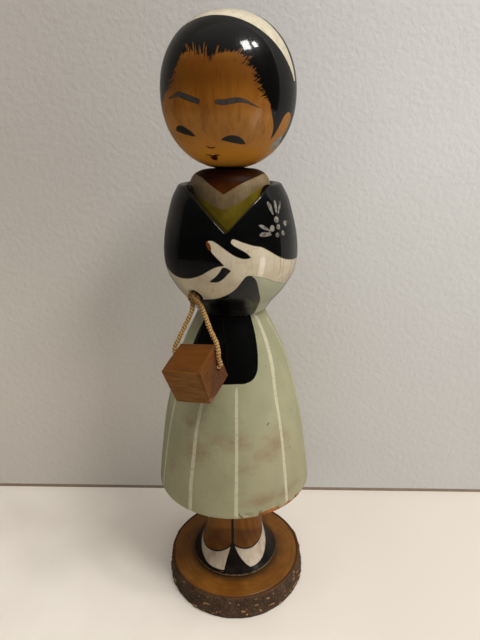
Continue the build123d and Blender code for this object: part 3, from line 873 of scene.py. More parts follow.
paint = s.mix(s.mul(dark_side, 0.9), paint, rgb(22, 20, 18))
sash_line = s.mul(s.edge("green", 0.2, 0.1), s.rest(s.step(s.attr("cream"), -0.7, -0.3)))
paint = s.mix(s.mul(sash_line, 0.8), paint, rgb(22, 20, 18))
paint = s.mix(s.mask("nail", 0.12, 0.05), paint, rgb(112, 60, 22))
petal = s.layer(rgb(150, 144, 134), rgb(112, 107, 99), s.noise(1.0, 3.0), 0.4, 0.7)
thin_paint = s.add(0.45, s.mul(s.step(s.noise(1.6, 3.0, 0.6), 0.38, 0.56), 0.55))
petal_mask = s.mul(s.mask("petal", 0.12, 0.12, 0.6), thin_paint)
paint = s.mix(s.mul(petal_mask, 0.92), paint, petal)
paint = s.layer(paint, rgb(138, 96, 54), s.attr("hole"), 0.1, 0.9)
scratch = s.mul(s.step(s.noise(0.9, 3.0, 0.6, stretch=(0.4, 0.4, 5), offset=(3, 1, 0)), 0.70, 0.74), 0.25)
coat_relief = s.add(s.mul(petal_mask, 0.9), s.mul(cream_grain, 0.25))
coat_relief = s.add(s.mul(s.mask("cream", 0.15), 0.5), coat_relief)
fine_turning = s.noise(2.6, 3.0, 0.5, stretch=(8, 8, 0.5))
COAT_PAINT = s.finish(
    paint,
    s.add(0.26, s.add(s.mul(s.noise(5, 4.0), 0.14), scratch)),
    s.bump(fine_turning, 0.10, 0.4, under=s.bump(coat_relief, 0.06, 0.6)),
    coat=0.85,
    coat_rough=0.07,
    specular=0.08,
)

# -------- collar

COLLAR_R = 16.0
COLLAR_TOP = HEAD_SEAT_Z - 0.05
collar = Turned(
    "look_collar",
    (AXIS_R, 162.0),
    [
        (3, (NECK_HOLE_R - 0.05, 162.0)), (4, (NECK_HOLE_R - 0.05, RECESS_FLOOR + 0.05)),
        (5, (COLLAR_R, RECESS_FLOOR + 0.05)), (50, (COLLAR_R, RECESS_TOP)),
        (
            50, (15.85, 191.4), (15.2, 193.2), (14.1, 194.7), (12.6, 195.7), (10.9, 196.4), (9.0, 196.75),
            (5.6, COLLAR_TOP),
        ),
        (3, (HEAD_HOLE_R, COLLAR_TOP)), (4, (HEAD_HOLE_R, 179.5)), (3, (AXIS_R, 179.5)),
    ],
    painted=(3, 5),
)
neckline = [
    (-180, 195.6), (-120, 195.5), (-80, 195.1), (-53, 194.7), (-36.5, 193.6), (-21, 191.2), (-4.3, 188.2),
    None, (8.1, 190.3), (23.8, 192.4), (43.7, 193.9), (62.5, 194.7), (90, 195.2), (130, 195.5),
    (180, 195.6),
]
collar.paint("neck", collar.beyond(neckline, 199))
inner_robe = [
    (-180, 191.5), (-90, 191), (-56.3, 188.4), (-35.3, 186.2), (-21.3, 184.3), (-5.5, 183), (6.3, 183.8),
    (19.9, 185.7), (30.7, 187.6), (50, 190.2), (90, 191.2), (180, 191.5),
]
collar.paint("robe", collar.beyond(inner_robe, 168))

s = Shader("collar_paint")
# Painted shade: this cream is the coat's cream made darker, as it lies under the head.
cream = s.layer(rgb(140, 121, 90), rgb(122, 102, 72), s.noise(6, 3.0), 0.35, 0.7)
cream = s.layer(cream, rgb(176, 148, 112), s.noise(0.8, 4.0, 0.65, stretch=(1, 1, 8)), 0.5, 0.75, 0.35)
olive = s.layer(rgb(132, 114, 30), rgb(112, 95, 22), s.noise(5, 3.0), 0.35, 0.7)
olive = s.layer(olive, rgb(110, 92, 24), s.noise(0.9, 3.0, 0.6, stretch=(1, 1, 5)), 0.52, 0.7, 0.4)
neck = turned_wood(s, rgb(92, 46, 13), rgb(78, 38, 10), rgb(50, 22, 6))
# Painted shade and dark reflection under the head: the neck darkens towards the top.
neck = s.layer(neck, rgb(34, 13, 4), s.height(), 189.0, 193.8, 0.85)
paint = s.mix(s.mask("robe", 0.18, 0.1), cream, olive)
paint = s.mix(s.mask("neck", 0.12, 0.08), paint, neck)
COLLAR_PAINT = s.finish(
    paint,
    s.add(0.36, s.mul(s.noise(4, 3.0), 0.16)),
    s.bump(s.noise(0.9, 3.0, stretch=(1, 1, 6)), 0.05, 0.5),
    specular=s.less(0.16, s.mul(s.mask("neck", 0.3), 0.10)),
)

# -------- head

# A little squarer than an ellipse.
HEAD_POWER = 0.94
tilt = np.radians(np.linspace(-90, 90, 119))
half = np.column_stack([
    HEAD_R * np.cos(tilt) ** HEAD_POWER,
    HEAD_Z + HEAD_HALF_H * np.sign(tilt) * np.abs(np.sin(tilt)) ** HEAD_POWER,
])
side = half[half[:, 1] > HEAD_SEAT_Z + 0.12]
side[-1, 0] = AXIS_R
seat_r = float(side[0, 0])
head = Turned(
    "look_head",
    (AXIS_R, 215.5),
    [
        (3, (HEAD_HOLE_R, 215.5)), (5, (HEAD_HOLE_R, HEAD_SEAT_Z)), (4, (seat_r - 0.6, HEAD_SEAT_Z + 0.02)),
        (4, tuple(side[0])), (230, *map(tuple, side[1:])),
    ],
    painted=(3, 5),
    latitude_from=HEAD_Z,
)

hairline = [
    (-180, -46), (-150, -47), (-124, -45), None, (-112, -38), None, (-117, -30), (-116, -22),
    (-108, -17.5), (-101, -17.5), (-96, -22), (-93.5, -28), (-91.5, -34), (-90, -39), None, (-89, -34),
    (-88, -26), (-84, -17), (-76, -11), (-66, -7.6), (-56, -1.8), (-48.4, 5.7), (-44.4, 10.4),
    (-41.4, 16.1), (-38.9, 19.9), (-35.6, 23.4), (-32.3, 25.5), (-28.8, 26.1), (-21.4, 22.8), (-9.1, 20.2),
    None, (-3.2, 22.5), (2.4, 23.3), (8.4, 22.7), (14.9, 21.7), (19.1, 17), (23.7, 13.6), (27.2, 10.2),
    (27.6, 6.3), (28.1, 2.5), (31.2, -2.4), (35.7, -7.7), (38.8, -12.6), (41.3, -18.6), (46.6, -28),
    (48.9, -36), (49.4, -39), None, (52.4, -33.6), (54.6, -27.9), (57.6, -20.3), (62, -17.1),
    (65.5, -16.6), (70.5, -18.4), (73.5, -23), (72.6, -30), (68.5, -38), None, (80, -43), (120, -47),
    (180, -46),
]
hair = -head.beyond(hairline, -89)

# Brush hairs of the fringe fan out from a point low on the face.
FACE_AZ = -14.0
FAN_LATITUDE = -22
azimuth, latitude = np.radians(head.az - FACE_AZ), np.radians(head.h)
face_side = np.degrees(azimuth) * np.cos(latitude)
bearing = np.arctan2(head.h - FAN_LATITUDE, face_side)
reach = np.hypot(head.h - FAN_LATITUDE, face_side)
strands = along_line(bearing * 20.0)
tufts = along_line(bearing * 9.0 + 50)
fringe = np.degrees(bearing)
fringe_here = fade(fringe, 2, 20) * fade(fringe, 172, 152) * (reach < 80)
hair = np.where(head.skin, hair + fringe_here * (0.7 * (strands - 0.5) + 0.6 * (tufts - 0.5)), hair)
head.layers["bearing"] = bearing
head.layers["fringe"] = fringe_here
for spike in (
    [(16.0, 15.4, .05), (20, 14.6, .3), (26, 12.4, .8)],
    [(18.0, 17.6, .05), (22, 14.6, .3), (27.7, 9.6, .8)],
    [(22.4, 8.5, .05), (24.4, 7.7, .35), (28, 6.0, .7)],
    [(23.6, 4.6, .05), (26, 3.7, .3), (30, 2.4, .6)],
    [(25.6, -0.6, .05), (28, -1.7, .25), (32, -3.4, .5)],
    [(29.6, -5.6, .05), (32, -6.0, .2), (36, -7.6, .4)],
    [(-9.4, 16.8, .05), (-9.2, 19.0, .35), (-9.0, 22, .8)],
    [(-39.4, 17.4, .05), (-41.6, 18.0, .3), (-45, 19.4, .6)],
    [(-40.6, 11.6, .05), (-43, 11.4, .3), (-47, 11.6, .6)],
    [(-42.6, 6.4, .05), (-45, 5.6, .3), (-50, 4.6, .6)],
    [(-46.4, 2.2, .05), (-49, 1.6, .25), (-54, 0.4, .5)],
):
    hair = np.maximum(hair, head.stroke(spike))
for wisp in (
    [(-13.8, 21.0, .5), (-14.6, 26.0, .25), (-15.4, 29.6, .04)],
    [(-22, 22.6, .5), (-24.6, 27.6, .22), (-26.4, 31.0, .04)],
    [(-17.4, 22.0, .35), (-19.0, 26.0, .15), (-20.2, 28.6, .04)],
    [(-29, 26, .4), (-31.6, 28.6, .2), (-33.6, 30.6, .04)],
    [(-4.8, 21.4, .4), (-4.0, 24.6, .2), (-3.6, 27.0, .04)],
    [(2.0, 22.4, .35), (3.4, 25.2, .15), (4.4, 26.8, .04)],
    [(10.4, 21.6, .4), (13.0, 23.8, .15), (14.8, 24.8, .04)],
    [(16.6, 18.6, .4), (20.0, 19.6, .16), (22.4, 19.8, .04)],
):
    hair = np.minimum(hair, -head.stroke(wisp))
head.paint("hair", hair)

# The hair band lies between two slanting planes.
BAND_AZ = math.radians(-18)
ahead = head.xyz[..., 0] * math.sin(BAND_AZ) - head.xyz[..., 1] * math.cos(BAND_AZ)
above = head.xyz[..., 2] - HEAD_Z
FRONT_PLANE = math.radians(54)
REAR_PLANE = math.radians(78)
behind_front = (above - 4) * math.cos(FRONT_PLANE) - (ahead - 1.0) * math.sin(FRONT_PLANE)
before_rear = (ahead + 1.0) * math.sin(REAR_PLANE) - (above - 4) * math.cos(REAR_PLANE)
head.layers["band"] = np.where(head.skin & (above > 3), np.minimum(behind_front, before_rear), -FAR)

# Brows, then eyes.
head.brush(
    "ink",
    [
        (-51.0, -5.6, .1), (-48.6, -5.8, .35), (-45, -5.2, .3), (-41.3, -4.4, .5), (-37.8, -3.8, .8),
        (-34.5, -4.9, .9), (-29.2, -6.7, .92), (-24.1, -8.5, .9), (-20.0, -9.7, .8),
    ],
    [
        (-4.6, -10.7, .72), (0, -10.9, .85), (6.4, -10.1, .85), (11.8, -9.5, .75), (17.3, -10.4, .48),
        (21.9, -12.1, .28), (28.7, -14.6, .08),
    ],
)
head.fill(
    "ink",
    [
        (-52.4, -30.0), None, (-50.2, -27.9), (-47.0, -26.7), (-43.2, -26.4), (-39.4, -27.2),
        (-35.0, -29.3), (-31.2, -32.0), (-28.6, -35.2), None, (-33, -35.0), (-38, -34.0), (-44.5, -32.5),
        (-49, -31.2), (-52.4, -30.0), None,
    ],
    [
        (-3.8, -38.6), None, (-1.0, -36.8), (1.7, -35.6), (4.6, -34.9), (8.0, -34.9), (12.8, -35.9),
        (17.2, -38.2), (21.4, -42.4), None, (16, -42.3), (10.5, -41.5), (4.3, -40.3), (0, -39.3),
        (-3.8, -38.6), None,
    ],
)
# Nose, then mouth.
head.brush(
    "line",
    [(-21.0, -43.7, .14), (-19, -44.9, .28), (-16.5, -45.6, .32), (-13.6, -45.5, .3), (-10.8, -44.9, .16)],
    [
        (-26.6, -52.2, .14), (-22.6, -53.2, .34), (-18.6, -54.6, .5), (-15.6, -54.3, .5),
        (-12.6, -53.4, .46), (-8.2, -53.4, .2),
    ],
)
head.fill("lip", [
    (-24.0, -55.4), (-21.0, -55.8), (-17.6, -55.2), (-14.0, -54.9), (-11.6, -55.8), (-13.4, -58.2),
    (-17.4, -60.2), (-21.6, -58.8),
])
# Earrings.
for az in (66.0, -98.0):
    head.dot("ring", az, -42.3, 3.1)
head.brush("squiggle", [
    (66.2, -46.8, .12), (69.2, -44.8, .14), (71.4, -46.2, .14), (72.0, -43.4, .12), (69.6, -41.6, .12),
    (71.6, -39.4, .1),
])

s = Shader("head_paint")
height = s.height()
face = turned_wood(s, rgb(162, 104, 34), rgb(147, 92, 28), rgb(102, 58, 16), pith=(6.0, 10.0), streak=0.3)
# Painted shade darkens the forehead under the fringe, and painted reflection of the pale floor lightens the
# lower face and the chin.
below_fringe = s.step(height, 234.5, 231.0)
brow_shade = s.mul(s.step(height, 218.5, 227.5), s.add(0.38, s.mul(below_fringe, 0.32)))
face = s.mix(brow_shade, face, rgb(92, 50, 10))
face = s.layer(face, rgb(182, 126, 56), height, 218.0, 214.5, 0.5)
face = s.layer(face, rgb(192, 130, 42), height, 209.5, 200.5, 0.85)
cloud = s.noise(7, 4.0, 0.6, stretch=(1, 1, 3), offset=(1, 1, 1))
face = s.layer(face, rgb(108, 60, 20), cloud, 0.5, 0.72, 0.1)
bands = s.noise(2.4, 4.0, 0.6, stretch=(1, 1, 14), offset=(2, 6, 0))
bands = s.mul(s.step(bands, 0.46, 0.68), s.step(height, 203.5, 210.5))
face = s.mix(s.mul(bands, 0.45), face, rgb(112, 64, 18))
brush = s.noise(0.8, 3.0, 0.6, stretch=(1, 1, 12), offset=(5, 0, 0))
brush = s.mul(s.step(brush, 0.5, 0.75), s.step(height, 208, 222))
face = s.mix(s.mul(brush, 0.45), face, rgb(88, 46, 12))
ink = s.layer(rgb(8, 8, 7), rgb(16, 15, 14), s.noise(6, 4.0, 0.6), 0.45, 0.75)
ink = s.layer(ink, rgb(34, 33, 31), s.noise(0.5, 5.0, 0.75), 0.62, 0.74, 0.4)
band = s.layer(rgb(212, 202, 178), rgb(190, 178, 150), s.noise(4, 4.0, 0.6), 0.4, 0.75)
bristle = s.noise(1 / 46.0, 2.5, 0.7, line=s.attr("bearing"))
bristle = s.mul(s.swing(bristle, 3.4), s.attr("fringe"))
hair_mask = s.step(s.add(s.attr("hair"), bristle), -0.14, 0.14)
band_mask = s.mul(s.mask("band", 0.12, 0.22, 2.5), hair_mask)
band_mask = s.mul(band_mask, s.step(s.noise(0.9, 4.0, 0.7, stretch=(1, 1, 1.5)), 0.26, 0.40))
paint = s.mix(hair_mask, face, ink)
paint = s.mix(band_mask, paint, band)
feature = s.layer(rgb(72, 68, 66), rgb(60, 56, 54), s.noise(1.2, 3.0), 0.4, 0.7)
feature = s.layer(feature, rgb(38, 36, 34), height, 217, 215.5)
paint = s.mix(s.mask("ink", 0.1, 0.06, 0.5), paint, feature)
paint = s.mix(s.mul(s.edge("ink", 0.1, 0.09), 0.55), paint, rgb(34, 30, 28))
paint = s.mix(s.mask("line", 0.12), paint, rgb(36, 20, 14))
paint = s.mix(s.mask("lip", 0.14), paint, rgb(62, 8, 20))
silver = s.layer(rgb(152, 154, 148), rgb(112, 112, 106), s.noise(1.4, 3.0), 0.4, 0.7)
paint = s.mix(s.mul(s.mask("ring", 0.3, 0.5, 1.5), 0.9), paint, silver)
paint = s.mix(s.mask("squiggle", 0.1), paint, rgb(52, 44, 40))
dust = s.mul(s.step(s.noise(0.4, 5.0, 0.8), 0.66, 0.74), 0.25)
head_relief = s.add(s.mul(band_mask, 0.6), s.mul(s.noise(0.8, 3.0, stretch=(1, 1, 12)), 0.2))
head_relief = s.add(s.mul(hair_mask, 0.5), head_relief)
brushed = s.noise(2.4, 3.0, 0.5, stretch=(6, 6, 0.6))
HEAD_PAINT = s.finish(
    paint,
    s.add(0.25, s.add(s.mul(s.noise(5, 4.0), 0.16), dust)),
    s.bump(brushed, 0.1, 0.35, under=s.bump(head_relief, 0.05, 0.6)),
    coat=s.add(0.1, s.mul(hair_mask, 0.7)),
    coat_rough=s.add(0.05, s.mul(s.step(s.noise(0.6, 4.0, 0.75), 0.48, 0.64), 0.16)),
    specular=s.less(0.16, s.mul(hair_mask, 0.11)),
)

# -------- handbag

BAG_SIDE = 15.8
BAG_HALF = BAG_SIDE / 2
BAG_SLANT = 1.5
BAG_CENTRE = np.array([-11.7, -33.2, 123.8])
BAG_TURN = (
    Matrix.Rotation(math.radians(-24.0), 3, "Z")
    @ Matrix.Rotation(math.radians(-8.4), 3, "Y")
    @ Matrix.Rotation(math.radians(21.0), 3, "X")
)
BAG_AXIS, BAG_TOP, BAG_UP = np.array(BAG_TURN).T
BAG_BORE_UP = 4.0
BORE_R = CORD_R + 0.05
BAG_STEPS = 52


def bag_mesh():
    """The square block in its own axes: x along the bore, y towards the bore's side, z up."""
    t = np.linspace(-1, 1, BAG_STEPS + 1)
    t = np.sign(t) * (1 - (1 - np.abs(t)) ** 1.35)
    a, b = np.meshgrid(t, t, indexing="ij")
    one = np.ones_like(a)
    sides = [(one, a, b), (-one, b, a), (b, one, a), (a, -one, b), (a, b, one), (b, a, -one)]
    verts, faces = [], []
    for side in sides:
        start = sum(len(v) for v in verts)
        verts.append(np.stack(side, -1).reshape(-1, 3) * BAG_HALF)
        quads = np.array(grid_faces(BAG_STEPS + 1, BAG_STEPS + 1, wrap=False)) + start
        faces += quads.tolist()
    return np.vstack(verts), faces


def worn_block(q):
    """Moves points of a sharp cube onto a hand-cut one."""
    edge = 0.2 + 0.3 * grain(q + 20, 5.0)[:, None]
    core = np.clip(q, -(BAG_HALF - edge), BAG_HALF - edge)
    out = q - core
    length = np.linalg.norm(out, axis=1, keepdims=True)
    p = np.where(length > 1e-6, core + out / np.maximum(length, 1e-6) * edge, q)
    p[:, 0] += BAG_SLANT * np.clip((p[:, 2] - p[:, 1]) / BAG_SIDE, 0, 1) * fade(p[:, 0], 0, BAG_HALF)
    swell = 0.16 * (grain(q + 50, 6.0) - 0.5) + 0.05 * (grain(q * (0.3, 1, 1) + 9, 1.2) - 0.5)
    p *= (1 + swell / BAG_HALF)[:, None]
    corner = np.array([BAG_HALF, -BAG_HALF, -BAG_HALF])
    for offset, facing in ((0.5, (0.62, -0.35, -0.70)), (0.4, (0.25, -0.86, -0.44))):
        normal = np.array(facing) / np.linalg.norm(facing)
        depth = (p - corner) @ normal + offset + 0.5 * (grain(q + 70, 1.6) - 0.5)
        p -= np.maximum(depth, 0)[:, None] * normal
    return p


verts, faces = bag_mesh()
block = make_object("look_bag_block", worn_block(verts), faces, {})
bpy.ops.mesh.primitive_cylinder_add(
    vertices=48, radius=BORE_R * MM, depth=3 * BAG_SIDE * MM,
    location=(0, BAG_BORE_UP * MM, 0), rotation=(0, math.pi / 2, 0),
)
drill = bpy.context.object
weld = block.modifiers.new("weld", "WELD")
weld.merge_threshold = 0.02 * MM
cutter = block.modifiers.new("bore", "BOOLEAN")
cutter.operation, cutter.object, cutter.solver = "DIFFERENCE", drill, "EXACT"
drilled = bpy.data.meshes.new_from_object(block.evaluated_get(bpy.context.evaluated_depsgraph_get()))
block.modifiers.clear()
block.data = drilled
bpy.data.objects.remove(drill)
local = np.array([v.co for v in drilled.vertices]) / MM
axes = np.column_stack([BAG_AXIS, BAG_TOP, BAG_UP])
drilled.vertices.foreach_set("co", ((local @ axes.T + BAG_CENTRE) * MM).astype(np.float32).ravel())
if np.linalg.det(axes) < 0:
    drilled.flip_normals()
complete(drilled, dict(zip("uvw", local.T)))

s = Shader("block_wood")
join = s.tree.nodes.new("ShaderNodeCombineXYZ")
for socket, key in zip(join.inputs, "uvw"):
    s.feed(socket, s.mul(s.attr(key), MM))
s.where = join.outputs[0]
u, v, w = s.attr("u"), s.attr("v"), s.attr("w")
long_grain = s.noise(0.55, 4.0, 0.65, stretch=(16, 1, 1))
warp = s.mul(s.noise(8, 2.0, stretch=(4, 1, 1)), 9.0)
layers = s.math("SINE", s.add(s.mul(s.add(w, s.mul(v, 0.35)), 3.4), warp))
wood = s.layer(rgb(98, 57, 17), rgb(82, 45, 13), s.noise(5, 3.0, stretch=(3, 1, 1)), 0.35, 0.7)
wood = s.layer(wood, rgb(84, 46, 15), layers, -0.2, 1.0, 0.22)
wood = s.layer(wood, rgb(72, 40, 13), long_grain, 0.52, 0.75, 0.4)
planed = s.noise(0.8, 4.0, 0.6, stretch=(12, 1, 1), offset=(0, 4, 0))
planed = s.layer(rgb(142, 94, 40), rgb(108, 67, 24), planed, 0.4, 0.7)
wood = s.layer(wood, planed, v, 0.6 - BAG_HALF, 0.25 - BAG_HALF, 0.85)
end = s.step(u, BAG_HALF - 0.55, BAG_HALF - 0.25)
square_end = s.mul(end, s.step(s.add(s.less(w, v), s.swing(s.noise(2.0, 3.0), 1.6)), 2.7, 1.7))
slant = s.noise(0.7, 4.0, 0.65, stretch=(1, 7, 1.6), offset=(4, 0, 2))
end_wood = s.layer(rgb(98, 60, 38), rgb(70, 39, 22), s.noise(1.3, 4.0, 0.65), 0.35, 0.7)
wood = s.mix(s.mul(end, 0.6), wood, s.layer(rgb(112, 68, 26), rgb(88, 50, 20), slant, 0.42, 0.7))
wood = s.mix(s.mul(square_end, 0.95), wood, end_wood)
# Painted shade in and round the mouth of the bore.
from_bore = s.distance(s.less(v, BAG_BORE_UP), w)
wood = s.layer(wood, rgb(38, 20, 12), from_bore, 1.9, 1.0, 0.85)
crack = s.math("ABSOLUTE", s.add(s.add(v, -2.4), s.swing(s.noise(1.2, 2.0), 0.8)))
crack = s.mul(s.step(crack, 0.34, 0.12), s.mul(s.step(w, -3.2, -2.6), s.step(w, -0.6, -1.0)))
wood = s.mix(s.mul(crack, s.mul(end, 0.85)), wood, rgb(52, 26, 16))
chip = s.step(s.add(s.add(s.mul(u, 0.66), s.mul(v, -0.37)), s.mul(w, -0.74)), 11.9, 12.4)
wood = s.mix(s.mul(chip, 0.5), wood, rgb(150, 92, 66))
rough_end = s.bump(s.noise(1.2, 4.0, 0.7), 0.2, s.add(0.15, s.mul(square_end, 0.5)))
BLOCK_WOOD = s.finish(
    wood,
    s.less(s.add(0.5, s.mul(s.noise(3, 3.0), 0.15)), s.mul(chip, 0.32)),
    s.bump(long_grain, 0.12, 0.5, under=rough_end),
    specular=s.add(0.15, s.mul(chip, 0.5)),
)

# -------- cord

bore_centre = BAG_CENTRE + BAG_TOP * BAG_BORE_UP
bore_left = bore_centre - BAG_AXIS * BAG_HALF
bore_right = bore_centre + BAG_AXIS * BAG_HALF
LEFT_BEND_R = 2.7
RIGHT_BEND_R = 1.15
STRANDS = 3
LAY = 1.15
ROPE_STEP = 0.11
ROPE_SIDES = 40


def bend(end, outward, radius):
    """Quarter turn from the bore's mouth up towards the knot, starting in the bore."""
    rise = CORD_EXIT - end
    rise = rise - BAG_AXIS * (rise @ BAG_AXIS)
    rise = rise / np.linalg.norm(rise)
    t = np.radians(np.linspace(0, 90, 9))[:, None]
    return end + outward * radius * np.sin(t) + rise * radius * (1 - np.cos(t))


left_bend = bend(bore_left, -BAG_AXIS, LEFT_BEND_R)
right_bend = bend(bore_right, BAG_AXIS, RIGHT_BEND_R)
left_way = np.vstack([
    CORD_EXIT + HOLE_OUT * 0.4 + (0.4, 0, 0.3),
    CORD_EXIT + HOLE_OUT * 1.4 + (0.0, 0, -1.9),
    (-13.9, -21.9, 145.0),
    (-16.5, -23.0, 139.5),
    (-19.0, -24.2, 134.5),
    (-20.8, -25.1, 130.3),
    left_bend[::-1],
])
right_way = np.vstack([
    right_bend,
    (-2.8, -33.0, 130.2),
    (-3.0, -32.2, 132.8),
    (-3.8, -30.8, 135.4),
    (-6.2, -28.2, 139.5),
    (-8.2, -25.6, 143.9),
    (-10.4, -23.3, 147.9),
    CORD_EXIT + HOLE_OUT * 1.7 + (0.2, 0, 0.9),
    CORD_EXIT - HOLE_OUT * 0.6 + (-0.3, 0, 0.6),
])


def rope(path, radius):
    """A braided tube along a path: points, faces, and how high each point stands in the braid."""
    length = np.linalg.norm(np.diff(path, axis=0), axis=1).sum()
    p = resample(path, int(length / ROPE_STEP))
    tangent = np.gradient(p, axis=0)
    tangent /= np.linalg.norm(tangent, axis=1, keepdims=True)
    normal = np.cross(tangent[0], (0.3, 0.5, 0.8))
    frames = []
    for t in tangent:
        normal = normal - t * (normal @ t)
        normal = normal / np.linalg.norm(normal)
        frames.append((normal, np.cross(t, normal)))
    s_along = np.r_[0, np.cumsum(np.linalg.norm(np.diff(p, axis=0), axis=1))][:, None]
    turn = np.linspace(0, 2 * np.pi, ROPE_SIDES, endpoint=False)[None]
    column = np.abs((turn * STRANDS / np.pi) % 2 - 1)
    seam = np.exp(-((column * (1 - column)) / 0.06) ** 2)
    height = np.cos(2 * np.pi * (s_along / LAY + 0.55 * column)) - 0.7 * seam
    slack = 1 + 0.05 * np.sin(s_along * 1.7) + 0.03 * np.sin(s_along * 4.1 + 1)
    r = radius * slack * (0.93 + 0.10 * height)
    n = np.array([f[0] for f in frames])[:, None]
    b = np.array([f[1] for f in frames])[:, None]
    verts = p[:, None] + r[..., None] * (np.cos(turn)[..., None] * n + np.sin(turn)[..., None] * b)
    faces = grid_faces(len(p), ROPE_SIDES)
    faces.append(list(range(ROPE_SIDES))[::-1])
    faces.append([(len(p) - 1) * ROPE_SIDES + k for k in range(ROPE_SIDES)])
    return verts.reshape(-1, 3), faces, height.ravel()


def join_parts(parts):
    verts, faces, heights = [], [], []
    for v, f, h in parts:
        start = sum(len(x) for x in verts)
        verts.append(v)
        heights.append(h)
        faces += [[i + start for i in face] for face in f]
    return np.vstack(verts), faces, np.concatenate(heights)


through = np.linspace(bore_left, bore_right, 12)[1:-1]
loop = np.vstack([
    smooth(left_way[:7], 10)[:-1],
    left_way[6:],
    through,
    right_way[:8],
    smooth(right_way[8:], 10),
])
t = np.linspace(0, 2 * np.pi, 160)[:, None]
across = np.array([-HOLE_OUT[1], HOLE_OUT[0], 0.0])
ring = 1.4 + 0.45 * np.cos(3 * t)
knot = (
    CORD_EXIT + HOLE_OUT * 0.5
    + across * ring * np.cos(2 * t)
    + np.array([0, 0, 1.0]) * ring * np.sin(2 * t)
    + HOLE_OUT * 0.55 * np.sin(3 * t)
)
verts, faces, heights = join_parts([rope(loop, CORD_R), rope(knot, 0.9)])
cord = make_object("look_cord", verts, faces, {"braid": heights})

s = Shader("cord_braid")
fibre = s.noise(0.16, 3.0, 0.6)
# Painted light and shade on the braid: light on the raised strands, dark in the grooves between them.
cord_colour = s.layer(rgb(112, 78, 36), rgb(196, 158, 96), s.attr("braid"), -1.2, 0.8)
cord_colour = s.layer(cord_colour, rgb(150, 112, 62), fibre, 0.5, 0.75, 0.4)
cord_colour = s.layer(cord_colour, rgb(132, 92, 48), s.noise(4, 3.0, 0.6), 0.45, 0.75, 0.4)
cord_colour = s.layer(cord_colour, rgb(104, 72, 36), s.height(), 144, 149, 0.55)
CORD_BRAID = s.finish(cord_colour, s.add(0.5, s.mul(fibre, 0.3)), s.bump(fibre, 0.05, 0.7), specular=0.35)

# -------- plug and dowels

s = Shader("dowel_wood")
dowel = turned_wood(s, rgb(206, 170, 118), rgb(184, 144, 92), rgb(132, 92, 50), pith=(2.0, 3.0))
DOWEL_WOOD = s.finish(
    dowel,
    s.add(0.5, s.mul(s.noise(1.5, 3.0), 0.2)),
    s.bump(s.noise(0.5, 3.0, stretch=(1, 1, 8)), 0.06, 0.5),
)

s = Shader("plug_wood")
plug = s.layer(rgb(70, 44, 24), rgb(50, 30, 18), s.noise(1.2, 3.0), 0.35, 0.7)
PLUG_WOOD = s.finish(plug, s.add(0.55, s.mul(s.noise(1.0, 3.0), 0.2)), s.bump(s.noise(0.5, 3.0), 0.08, 0.6))

# -------- the pieces on their bodies

def cover(obj, material):
    obj.data.materials.clear()
    obj.data.materials.append(material)


for look, material, body, node in (
    (base_disc.build(), BRANCH_WOOD, "doll_body", "base_disc"),
    (base_bark, BARK, "doll_body", "base_bark"),
    (legs.build(), LEG_PAINT, "doll_body", "legs"),
    (skirt.build(), SKIRT_PAINT, "doll_body", "skirt"),
    (coat.build(), COAT_PAINT, "doll_body", "coat"),
    (collar.build(), COLLAR_PAINT, "doll_body", "collar"),
    (head.build(), HEAD_PAINT, "head", "head"),
    (block, BLOCK_WOOD, "bag", "bag_block"),
    (cord, CORD_BRAID, "cord", "cord"),
):
    cover(look, material)
    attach(look, body)
    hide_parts(node)
for node in ("foot_dowel", "waist_dowel", "neck_dowel"):
    cover(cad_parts[node], DOWEL_WOOD)
cover(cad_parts["cord_plug"], PLUG_WOOD)

# -------- stage, light, camera

WALL_Y = 0.0583
WALL_SLANT = 0.0223
ROOM_HALF = 0.9


def sheet(name, corners, material):
    mesh = bpy.data.meshes.new(name)
    mesh.from_pydata(corners, [], [(0, 1, 2, 3)])
    mesh.materials.append(material)
    place(name, mesh)


def dimmer(s, colour):
    """The colour, dimmed in reflections: low down, more so on the left and less so on the right."""
    path = s.tree.nodes.new("ShaderNodeLightPath")
    x = s.along(0)
    low = s.step(s.height(), 200, 150)
    aside = s.less(s.mul(s.step(x, 0, -80), 0.25), s.mul(s.step(x, 30, 100), 0.13))
    loss = s.add(0.55, s.mul(low, aside))
    return s.mix(s.mul(path.outputs["Is Glossy Ray"], loss), colour, rgb(20, 20, 19))


def one_sided(s):
    """Makes the back of a sheet invisible."""
    geometry = s.tree.nodes.new("ShaderNodeNewGeometry")
    clear = s.tree.nodes.new("ShaderNodeBsdfTransparent")
    either = s.tree.nodes.new("ShaderNodeMixShader")
    s.feed(either.inputs[0], geometry.outputs["Backfacing"])
    s.tree.links.new(s.bsdf.outputs[0], either.inputs[1])
    s.tree.links.new(clear.outputs[0], either.inputs[2])
    s.tree.links.new(either.outputs[0], s.out.inputs[0])
    return s.mat


s = Shader("stage_floor")
floor_paint = s.layer(rgb(234, 227, 217), rgb(226, 218, 207), s.noise(60, 3.0), 0.3, 0.7)
floor_paint = s.layer(floor_paint, rgb(218, 210, 199), s.along(0), 0, 90)
FLOOR = s.finish(
    dimmer(s, floor_paint),
    s.add(0.38, s.mul(s.noise(12, 3.0), 0.12)),
    s.bump(s.noise(2.2, 3.0), 0.05, 0.25),
)
s = Shader("stage_wall")
